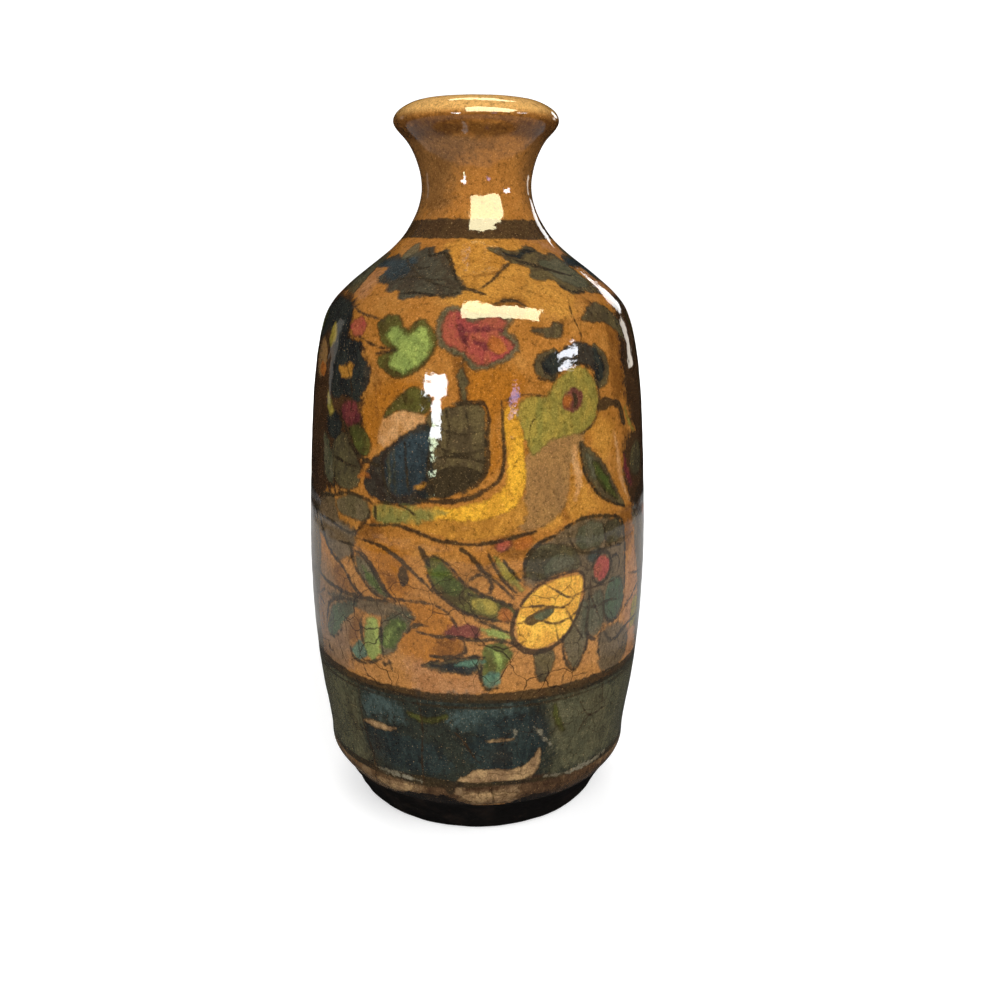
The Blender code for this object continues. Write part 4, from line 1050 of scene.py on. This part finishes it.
        ("buff", "wash", [(-28, 13.4), (-22, 14.4), (-16, 13.8), (-17, 12.8), (-24, 11.6)]),
        ("scorch", "brush", (0.5, 1.2, 0.6), [(-9, 15.2), (0, 15.4), (8, 15.6), (14, 16.4)]),
        ("paleMark", "brush", (0.4, 1.0, 0.8, 0.5), [(-27, 16.4), (-22, 16.4), (-17, 16.1), (-14, 16)]),
        ("paleMark", "brush", (0.4, 0.9, 0.5), [(17, 16.6), (23, 16.2), (30, 16.2), (38, 16.6)]),
        ("ink", "wash", [(-7.8, 15), (-7.2, 15.8), (-5.6, 15.6), (-5.4, 14.2), (-6.4, 13.4), (-7.6, 13.8)]),
        ("soot", "wash", [(-42, 8.6), (-34, 9.4), (-27, 9.8), (-21, 11), (-17, 12.2), (-12, 12.7),
            (-7, 12.6), (-4.4, 11), (-1, 9.7), (8, 9.8), (11, 11.4), (14, 12.1), (18, 11.8), (22, 10.4),
            (28, 10.2), (40, 9.8), (44, 5), (-44, 5)]),
        ("scorch", "wash", [(10, 15), (22, 15), (24, 12), (20, 10.6), (12, 11.6)]),
        ("scorch", "wash", [(22, 14.6), (36, 14.4), (44, 12), (40, 9), (24, 9.6)]),
        ("scorch", "wash", [(-12, 14.8), (-6, 14.6), (-4.4, 12.4), (-8, 11.6), (-13, 12)]),
    ],
}


# where each group of strokes goes round the flask: its shift in mm, 0 for the side that the eye sees
# first, and whether it is mirrored
half = math.pi * brushRadius
placed = [(group, 0, False) for group in painting]
placed += [(group, half, False) for group in painting if group not in ("rings", "leftMass", "hairCracks")]
placed += [
    ("heartLeaf", 76, False), ("redFlower", 62, False), ("leftLeaves", 88, False), ("centreLeaves", 62, True),
    ("rightLeaf", 104, True), ("shoulderLeafLeft", 84, False), ("leftStems", 88, False),
    ("heartLeaf", -76, True), ("redFlower", -66, True), ("leftLeaves", -92, True),
    ("centreLeaves", -64, False), ("rightLeaf", -104, False), ("shoulderLeafRight", -84, False),
    ("leftStems", -92, True),
]

pigments = {
    # the two tones that the brush leaves, how soft the edge is and how far it wanders in mm, how well it
    # covers, and how dark a rim it dries with; the first lies lowest
    "goldAmber": {"tones": ("#C08838", "#B27A30"), "soft": 3.0, "wander": 1.5, "covers": 0.75, "rim": 0},
    "deepAmber": {"tones": ("#A4641A", "#945A18"), "soft": 2.6, "wander": 1.2, "covers": 0.75, "rim": 0},
    "roseClay": {"tones": ("#A87850", "#9C6A44"), "soft": 3.0, "wander": 1.5, "covers": 0.75, "rim": 0},
    # painted shade and painted reflection on the neck
    "neckShade": {"tones": ("#7C5832", "#6A4A2A"), "soft": 6.0, "wander": 2.0, "covers": 0.75, "rim": 0},
    # painted reflection of the pale floor, low on the sides
    "floorReflection": {"tones": ("#6A5C48", "#5A5040"), "soft": 6.0, "wander": 2.2, "covers": 0.6, "rim": 0},
    # painted shade under the lip
    "underLipShade": {"tones": ("#5C3A1A", "#4E3016"), "soft": 1.4, "wander": 0.6, "covers": 0.7, "rim": 0},
    "stain": {"tones": ("#6A4018", "#5A3414"), "soft": 1.1, "wander": 0.8, "covers": 0.6, "rim": 0},
    # grey wash of the painting, also laid low on the sides as painted reflection of the pale floor
    "greyWashAndReflection": {"tones": ("#5A5240", "#4A4636"), "soft": 1.3, "wander": 0.7, "covers": 0.85, "rim": 0.15},
    # dark umber, partly painted shade at the body's left and right edges
    "umberAndEdgeShade": {"tones": ("#36281C", "#261D17"), "soft": 2.0, "wander": 1.4, "covers": 0.93, "rim": 0},
    "mauve": {"tones": ("#84643E", "#926E42"), "soft": 1.0, "wander": 0.6, "covers": 0.85, "rim": 0.15},
    "paleOrange": {"tones": ("#C49664", "#B4824E"), "soft": 1.0, "wander": 0.6, "covers": 0.8, "rim": 0},
    "bandShade": {"tones": ("#30332B", "#262823"), "soft": 0.5, "wander": 0.25, "covers": 1.0, "rim": 0},
    # olive-grey, partly painted reflection of the pale floor
    "bandOliveAndReflection": {"tones": ("#5E5A42", "#4E4C38"), "soft": 4.5, "wander": 2.2, "covers": 0.9, "rim": 0},
    "bandTeal": {"tones": ("#4A5854", "#3A4642"), "soft": 2.6, "wander": 1.8, "covers": 0.8, "rim": 0},
    "bandBlue": {"tones": ("#2E3836", "#232A2A"), "soft": 2.2, "wander": 1.6, "covers": 0.85, "rim": 0},
    "clay": {"tones": ("#7E664A", "#5C4630"), "soft": 0.9, "wander": 0.9, "covers": 0.97, "rim": 0.3},
    "buff": {"tones": ("#AA8A60", "#86694A"), "soft": 0.5, "wander": 0.4, "covers": 0.95, "rim": 0.4},
    "scorch": {"tones": ("#4C3624", "#3A281C"), "soft": 1.2, "wander": 0.8, "covers": 0.85, "rim": 0},
    "soot": {"tones": ("#171412", "#221A15"), "soft": 0.6, "wander": 0.7, "covers": 1.0, "rim": 0},
    "darkOlive": {"tones": ("#544C32", "#403A2A"), "soft": 0.7, "wander": 0.5, "covers": 0.94, "rim": 0.4},
    "blueBlack": {"tones": ("#2A2E2A", "#1E2020"), "soft": 0.7, "wander": 0.5, "covers": 0.95, "rim": 0.3},
    "slate": {"tones": ("#343C34", "#272C28"), "soft": 1.0, "wander": 0.6, "covers": 0.92, "rim": 0.2},
    "wingBlue": {"tones": ("#323E42", "#2A3234"), "soft": 1.2, "wander": 0.7, "covers": 0.9, "rim": 0},
    "tealGrey": {"tones": ("#44563F", "#444C3C"), "soft": 0.8, "wander": 0.5, "covers": 0.9, "rim": 0.2},
    "greyOlive": {"tones": ("#585440", "#4A4A36"), "soft": 0.9, "wander": 0.5, "covers": 0.88, "rim": 0.3},
    "darkGreen": {"tones": ("#4C4E24", "#3A381C"), "soft": 0.7, "wander": 0.4, "covers": 0.93, "rim": 0.4},
    "leafGreen": {"tones": ("#4E5C28", "#424C22"), "soft": 0.9, "wander": 0.5, "covers": 0.9, "rim": 0},
    "amberGold": {"tones": ("#B67E30", "#A26E2A"), "soft": 1.0, "wander": 0.6, "covers": 0.85, "rim": 0.15},
    "gold": {"tones": ("#DCA432", "#C48C2C"), "soft": 0.8, "wander": 0.5, "covers": 0.95, "rim": 0.15},
    "oliveGold": {"tones": ("#8A7A3A", "#70703A"), "soft": 1.3, "wander": 0.7, "covers": 0.9, "rim": 0},
    "olive": {"tones": ("#968238", "#7E7434"), "soft": 0.9, "wander": 0.5, "covers": 0.93, "rim": 0.3},
    "yellowGreen": {"tones": ("#92A050", "#7C8A46"), "soft": 1.1, "wander": 0.6, "covers": 0.93, "rim": 0.2},
    "teal": {"tones": ("#56765F", "#446052"), "soft": 0.8, "wander": 0.5, "covers": 0.9, "rim": 0.1},
    "red": {"tones": ("#96403A", "#9A4E38"), "soft": 0.8, "wander": 0.5, "covers": 0.93, "rim": 0.35},
    "plum": {"tones": ("#6A3030", "#56262A"), "soft": 0.9, "wander": 0.6, "covers": 0.88, "rim": 0},
    "orange": {"tones": ("#A8642A", "#985624"), "soft": 0.8, "wander": 0.4, "covers": 0.85, "rim": 0},
    "bud": {"tones": ("#EAB446", "#D09638"), "soft": 0.5, "wander": 0.3, "covers": 0.97, "rim": 0.2},
    "ink": {"tones": ("#2C241A", "#382E1E"), "soft": 0.5, "wander": 0.3, "covers": 0.9, "rim": 0},
    "fineInk": {"tones": ("#2E2216", "#3A2A1A"), "soft": 0.35, "wander": 0.2, "covers": 0.9, "rim": 0},
    "markGreen": {"tones": ("#5A5E40", "#4A4C34"), "soft": 0.6, "wander": 0.3, "covers": 0.9, "rim": 0},
    "paleMark": {"tones": ("#8E8670", "#7A725E"), "soft": 0.6, "wander": 0.8, "covers": 0.75, "rim": 0},
}
farAway = 5.0   # mm, where no stroke is near


def edgeSway(edge, turn, counts):
    # three waves round the flask that the brush leaves in a ring's edge
    first, second, third = (np.sin(count * turn + edge * order) for order, count in enumerate(counts, 1))
    return 0.6 * first + 0.5 * second + 0.35 * third


def ringDistance(low, high, sway, turn, up):
    # signed distance in mm to a ring, negative inside
    lowSway = sway * edgeSway(low, turn, (2, 5, 9))
    highSway = sway * edgeSway(high, turn, (3, 4, 11))
    return np.maximum(low + lowSway - up, up - high - highSway)


def strokeDistance(stroke, across, up, squeeze, shift, flip):
    # the points near one stroke and their signed distance to it in mm, negative inside
    kind = stroke[1]
    if kind == "ring":
        low, high = alongAt(stroke[2]), alongAt(stroke[3])
        return np.arange(len(across)), ringDistance(low, high, stroke[4], across / brushRadius, up)
    points = np.array(stroke[-1], float)
    if flip:
        points[:, 0] *= -1
    points[:, 0] += shift
    points[:, 1] = alongAt(points[:, 1])
    closed = kind == "wash"
    path = splineThrough(points, closed=closed, step=1.0)
    (left, low), (right, high) = path.min(axis=0), path.max(axis=0)
    middle = (left + right) / 2
    local = (across - middle + half) % (2 * half) - half + middle
    margin = farAway / np.maximum(squeeze, 0.3)
    beside = (local > left - margin) & (local < right + margin)
    near = np.flatnonzero(beside & (up > low - farAway) & (up < high + farAway))
    if len(near) == 0:
        return near, np.zeros(0)
    count = len(path) - 1
    widths = np.zeros(count + 1)
    if not closed:
        given = np.atleast_1d(stroke[2])
        widths = np.interp(np.linspace(0, 1, count + 1), np.linspace(0, 1, len(given)), given)
        widths *= np.sin(np.pi * np.linspace(0.08, 0.92, count + 1)) ** 0.4   # thinner at both ends
    x, y, narrow = local[near], up[near], squeeze[near]
    best = np.full(len(near), 1e9)
    inside = np.zeros(len(near), bool)
    for i in range(count):
        (x0, y0), (x1, y1) = path[i], path[i + 1]
        runX, runY = (x1 - x0) * narrow, y1 - y0
        toX, toY = (x - x0) * narrow, y - y0
        part = np.clip((toX * runX + toY * runY) / np.maximum(runX * runX + runY * runY, 1e-9), 0, 1)
        halfWidth = (widths[i] + (widths[i + 1] - widths[i]) * part) / 2
        best = np.minimum(best, np.hypot(toX - part * runX, toY - part * runY) - halfWidth)
        if closed and y0 != y1:
            crosses = (y0 <= y) != (y1 <= y)
            inside ^= crosses & (x < x0 + (y - y0) / (y1 - y0) * (x1 - x0))
    return near, np.where(inside, -best, best)


def paint(piece, across, up, squeeze, face):
    # leaves one attribute per pigment: the distance in mm to the nearest edge of its strokes.
    # squeeze is the radius of the piece there, as a share of the brush radius.
    layers = {name: np.full(len(across), farAway) for name in pigments}
    wanted = np.flatnonzero(face)
    acrossFace, upFace, squeezeFace = across[wanted], up[wanted], squeeze[wanted]
    for group, shift, flip in placed:
        for stroke in painting[group]:
            near, distance = strokeDistance(stroke, acrossFace, upFace, squeezeFace, shift, flip)
            if len(near):
                layer = layers[stroke[0]]
                target = wanted[near]
                layer[target] = np.minimum(layer[target], distance)
    for name, layer in layers.items():
        values = np.clip(layer, -farAway, farAway)
        piece.data.attributes.new(name, "FLOAT", "POINT").data.foreach_set("value", values)


for piece, angle, along, depth in glazePieces:
    radius = np.interp(along, lineAlong, line[:, 0])
    paint(piece, angle * brushRadius, along, radius / brushRadius, depth < 0.5)
    print(piece.name, "painted")
radius = np.hypot(basePlaces[:, 0], basePlaces[:, 1])
height = basePlaces[:, 2]
glazeFoot = flaskLine["joints"][0]
outsideFoot = (height < glazeFoot + 0.1) & (radius > 28)
footAlong = alongAt(glazeFoot) - (glazeFoot - height) * 1.15   # the foot's skin slants, so it is longer
paint(base, baseAngle * brushRadius, footAlong, radius / brushRadius, outsideFoot)
print("base painted")


def perMm(size):
    # texture scale on object coordinates, which are in metres, for a pattern of this size in mm
    return 1 / (size * mm)


def layColours(tree, under, layers):
    # lays one colour after another; each covers from least to most as its value runs from start to end
    for value, start, end, least, most, over in layers:
        reach = {"Value": value, "From Min": start, "From Max": end, "To Min": least, "To Max": most}
        amount = addNode(tree, "ShaderNodeMapRange", reach, interpolation_type="SMOOTHSTEP").outputs[0]
        under = addNode(tree, "ShaderNodeMix", {0: amount, 6: under, 7: over}, data_type="RGBA").outputs[2]
    return under


def makeNoises(tree, place, sizes):
    # named noises; each has its size in mm, detail, roughness and how much it is drawn out upwards
    noises = {}
    for name, (size, detail, rough, drawn) in sizes.items():
        where = addNode(tree, "ShaderNodeMapping", {"Vector": place, "Scale": (1, 1, 1 / drawn)}).outputs[0]
        settings = {"Vector": where, "Scale": perMm(size), "Detail": detail, "Roughness": rough}
        noises[name] = addNode(tree, "ShaderNodeTexNoise", settings).outputs["Fac"]
    return noises


# painted clay under a clear glaze: the colours lie under the coat, so they are soft at the edge,
# streaky and dirty, and the coat over them is glassy, faintly wavy and crazed
glazeLook = {
    "noises": {
        "fine": (0.36, 2, 0.75, 1),      # speckle of clay and slip
        "grain": (0.9, 3, 0.65, 1),
        "edge": (1.5, 3, 0.6, 1),        # how the pigments feather
        "brushing": (2.0, 3, 0.6, 3),
        "cloud": (5, 3, 0.6, 1),
        "stain": (11, 3, 0.6, 1),
        "patch": (16, 2, 0.5, 1),
        "ripple": (2.6, 2, 0.4, 1),
        "swell": (8, 2, 0.4, 1),
    },
    "speckle": (1.5, 0.58),   # how much the speckle lightens and darkens
    "rimWidth": 0.45,     # mm
    "crazing": 7.5,       # mm across a cell
    "crackWidth": 0.11,   # mm
    "crackBend": 4,       # mm that a crack strays
    "bendSize": 5,        # mm between its bends
}

paintedGlaze, tree = newMaterial("painted_clear_glaze")
place = addNode(tree, "ShaderNodeTexCoord").outputs["Object"]
height = addNode(tree, "ShaderNodeSeparateXYZ", {0: place}).outputs["Z"]
noises = makeNoises(tree, place, glazeLook["noises"])

# amber ground, browner where the coat is thick; paler low down as painted reflection of the pale floor, and paler on
# top of the lip as painted light from above
colour = layColours(tree, linear("#A46B2E"), [
    (noises["cloud"], 0.42, 0.68, 0, 0.6, linear("#8E5B20")),
    (noises["stain"], 0.48, 0.70, 0, 0.55, linear("#B47E3D")),
    # painted reflection of the pale floor: paler low down
    (height, 78 * mm, 45 * mm, 0, 0.6, linear("#B07C47")),
    (height, 137 * mm, 150 * mm, 0, 0.6, linear("#A26B32")),
    # painted light from above: the top of the lip paler
    (height, 160.8 * mm, 162.8 * mm, 0, 0.9, linear("#DCAA61")),
])

# the pigments, from the lowest up: feathered edges, two brushed tones and a dried rim
wander = addNode(tree, "ShaderNodeMath", {0: noises["edge"], 1: 0.5}, operation="SUBTRACT").outputs[0]
streaks = {0: noises["brushing"], 1: noises["cloud"]}
tone = addNode(tree, "ShaderNodeMath", streaks, operation="ADD").outputs[0]
rimBrown = linear("#24190F")
for name, look in pigments.items():
    edge = addNode(tree, "ShaderNodeAttribute", attribute_name=name).outputs["Fac"]
    feathered = {0: wander, 1: look["wander"] * 4, 2: edge}
    edge = addNode(tree, "ShaderNodeMath", feathered, operation="MULTIPLY_ADD").outputs[0]
    first, second = (linear(shade) for shade in look["tones"])
    brushed = layColours(tree, first, [(tone, 0.84, 1.14, 0, 1, second)])
    soft = look["soft"]
    colour = layColours(tree, colour, [(edge, soft * 0.6, -soft * 0.5, 0, look["covers"], brushed)])
    if look["rim"]:
        nearEdge = addNode(tree, "ShaderNodeMath", {0: edge}, operation="ABSOLUTE").outputs[0]
        colour = layColours(tree, colour, [(nearEdge, glazeLook["rimWidth"], 0, 0, look["rim"], rimBrown)])

# dirt in the coat and speckle of the body through everything
colour = layColours(tree, colour, [
    (noises["grain"], 0.54, 0.72, 0, 0.4, linear("#241709")),
    (noises["fine"], 0.36, 0.24, 0, 0.35, linear("#E2B478")),
    (noises["patch"], 0.58, 0.76, 0, 0.25, linear("#3A2612")),
])
mottle = addNode(tree, "ShaderNodeMix", {0: 0.35, 2: noises["fine"], 3: noises["grain"]}).outputs[0]
lighter, darker = glazeLook["speckle"]
reach = {"Value": mottle, "From Min": 0.32, "From Max": 0.68, "To Min": lighter, "To Max": darker}
speckle = addNode(tree, "ShaderNodeMapRange", reach).outputs[0]
colour = addNode(tree, "ShaderNodeVectorMath", {0: colour, "Scale": speckle}, operation="SCALE").outputs[0]

# crazing: a net of hairline cracks with dirt in them, plainest low on the body
bends = {"Vector": place, "Scale": perMm(glazeLook["bendSize"]), "Detail": 2.0}
bend = addNode(tree, "ShaderNodeTexNoise", bends).outputs["Color"]
bend = addNode(tree, "ShaderNodeVectorMath", {0: bend, 1: (0.5, 0.5, 0.5)}, operation="SUBTRACT").outputs[0]
crackBend = glazeLook["crackBend"] * mm
bend = addNode(tree, "ShaderNodeVectorMath", {0: bend, "Scale": crackBend}, operation="SCALE").outputs[0]
bend = addNode(tree, "ShaderNodeVectorMath", {0: place, 1: bend}, operation="ADD").outputs[0]
net = {"Vector": bend, "Scale": perMm(glazeLook["crazing"])}
cells = addNode(tree, "ShaderNodeTexVoronoi", net, feature="DISTANCE_TO_EDGE").outputs["Distance"]
lineWidth = glazeLook["crackWidth"] / glazeLook["crazing"]
black, white = (0, 0, 0, 1), (1, 1, 1, 1)
crack = layColours(tree, black, [(cells, lineWidth * 1.6, lineWidth * 0.3, 0, 1, white)])
crack = layColours(tree, crack, [
    (noises["patch"], 0.60, 0.40, 0, 1, black),
    (height, 45 * mm, 90 * mm, 0.15, 0.9, black),
    (height, 41 * mm, 37 * mm, 0, 0.5, black),
])
dirty = {0: crack, 6: colour, 7: linear("#24170C")}
colour = addNode(tree, "ShaderNodeMix", dirty, data_type="RGBA").outputs[2]

# the coat's own unevenness bends what it mirrors
skin = None
for source, deep in (("swell", 0.12), ("ripple", 0.07), ("grain", 0.01)):   # mm deep
    inputs = {"Strength": 1.0, "Distance": deep * mm, "Height": noises[source]}
    if skin:
        inputs["Normal"] = skin
    skin = addNode(tree, "ShaderNodeBump", inputs).outputs[0]
inputs = {"Strength": 0.6, "Distance": 0.02 * mm, "Height": crack, "Normal": skin}
skin = addNode(tree, "ShaderNodeBump", inputs, invert=True).outputs[0]
reach = {"Value": noises["stain"], "From Min": 0.3, "From Max": 0.7, "To Min": 0.025, "To Max": 0.055}
rough = addNode(tree, "ShaderNodeMapRange", reach).outputs[0]
finish = {"Base Color": colour, "Roughness": rough, "IOR": 1.48, "Normal": skin}
skin = addNode(tree, "ShaderNodeBsdfPrincipled", finish)
addNode(tree, "ShaderNodeOutputMaterial", {"Surface": skin.outputs[0]})
for piece, *_ in glazePieces:
    piece.data.materials.append(paintedGlaze)

# bare clay foot: fired dark, wiped and handled, so it is nearly black with brown showing through
bareClay, tree = newMaterial("bare_fired_clay")
place = addNode(tree, "ShaderNodeTexCoord").outputs["Object"]
height = addNode(tree, "ShaderNodeSeparateXYZ", {0: place}).outputs["Z"]
noises = makeNoises(tree, place, {
    "grit": (0.5, 3, 0.7, 1),
    "wear": (1.5, 3, 0.6, 1),
    "blotch": (7, 4, 0.6, 1),
    "skin": (1.2, 5, 0.65, 1),
})
worn = {0: noises["wear"], 1: 2 * mm, 2: height}
wornHeight = addNode(tree, "ShaderNodeMath", worn, operation="MULTIPLY_ADD").outputs[0]
colour = layColours(tree, linear("#110E0C"), [
    (noises["blotch"], 0.46, 0.70, 0, 1, linear("#211711")),
    (wornHeight, 2.2 * mm, 0.6 * mm, 0, 0.6, linear("#4A3628")),
    (noises["wear"], 0.55, 0.75, 0, 0.5, linear("#2A1E16")),
    (noises["grit"], 0.52, 0.75, 0, 0.5, linear("#0B0907")),
])
inputs = {"Strength": 1.0, "Distance": 0.08 * mm, "Height": noises["skin"]}
skin = addNode(tree, "ShaderNodeBump", inputs).outputs[0]
reach = {"Value": noises["blotch"], "From Min": 0.4, "From Max": 0.6, "To Min": 0.6, "To Max": 0.8}
rough = addNode(tree, "ShaderNodeMapRange", reach).outputs[0]
finish = {"Base Color": colour, "Roughness": rough, "IOR": 1.25, "Normal": skin}
skin = addNode(tree, "ShaderNodeBsdfPrincipled", finish)
addNode(tree, "ShaderNodeOutputMaterial", {"Surface": skin.outputs[0]})
base.data.materials.append(bareClay)

# lining glaze: a thin amber coat poured in and out again, darker where it ran
liningGlaze, tree = newMaterial("poured_lining_glaze")
place = addNode(tree, "ShaderNodeTexCoord").outputs["Object"]
noises = makeNoises(tree, place, {"speckle": (0.5, 2, 0.7, 1), "runs": (4, 3, 0.6, 5)})
colour = layColours(tree, linear("#96602C"), [
    (noises["runs"], 0.40, 0.65, 0, 1, linear("#6E431C")),
    (noises["speckle"], 0.50, 0.72, 0, 0.4, linear("#2A1A0E")),
])
inputs = {"Strength": 1.0, "Distance": 0.1 * mm, "Height": noises["runs"]}
skin = addNode(tree, "ShaderNodeBump", inputs).outputs[0]
finish = {"Base Color": colour, "Roughness": 0.14, "IOR": 1.5, "Normal": skin}
skin = addNode(tree, "ShaderNodeBsdfPrincipled", finish)
addNode(tree, "ShaderNodeOutputMaterial", {"Surface": skin.outputs[0]})
liner.data.materials.append(liningGlaze)

# thrown buff clay and the slip that joins it, both hidden under the coats: matt, with the thrower's rings
hiddenClay = {
    "thrown_buff_clay": {
        "tones": ("#A87C54", "#8E6440"),
        "grit": 0.8,
        "nodes": ("barrel_wall", "shoulder", "neck"),
    },
    "luting_slip": {
        "tones": ("#B89472", "#A07C5A"),
        "grit": 0.4,
        "nodes": ("base_slip", "shoulder_slip", "neck_slip"),
    },
}
throwingRing = 18.85   # mm from one wide ring that the thrower's hand left to the next
waveTurn = 20   # radians that a wave texture turns through in one unit at a scale of 1
for name, clay in hiddenClay.items():
    material, tree = newMaterial(name)
    place = addNode(tree, "ShaderNodeTexCoord").outputs["Object"]
    waves = {"Vector": place, "Scale": perMm(throwingRing) * 2 * math.pi / waveTurn, "Distortion": 2.0, "Detail": 2.0}
    rings = addNode(tree, "ShaderNodeTexWave", waves, bands_direction="Z").outputs["Fac"]
    noises = makeNoises(tree, place, {"grit": (clay["grit"], 3, 0.7, 1)})
    colour = layColours(tree, linear(clay["tones"][0]), [
        (rings, 0, 1, 0, 1, linear(clay["tones"][1])),
        (noises["grit"], 0.5, 0.7, 0, 0.5, linear("#5A3C26")),
    ])
    inputs = {"Strength": 0.6, "Distance": 0.2 * mm, "Height": rings}
    skin = addNode(tree, "ShaderNodeBump", inputs).outputs[0]
    finish = {"Base Color": colour, "Roughness": 0.85, "IOR": 1.5, "Normal": skin}
    skin = addNode(tree, "ShaderNodeBsdfPrincipled", finish)
    addNode(tree, "ShaderNodeOutputMaterial", {"Surface": skin.outputs[0]})
    for node in clay["nodes"]:
        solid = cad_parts[node]
        solid.data.materials.clear()
        solid.data.materials.append(material)
print("materials made")
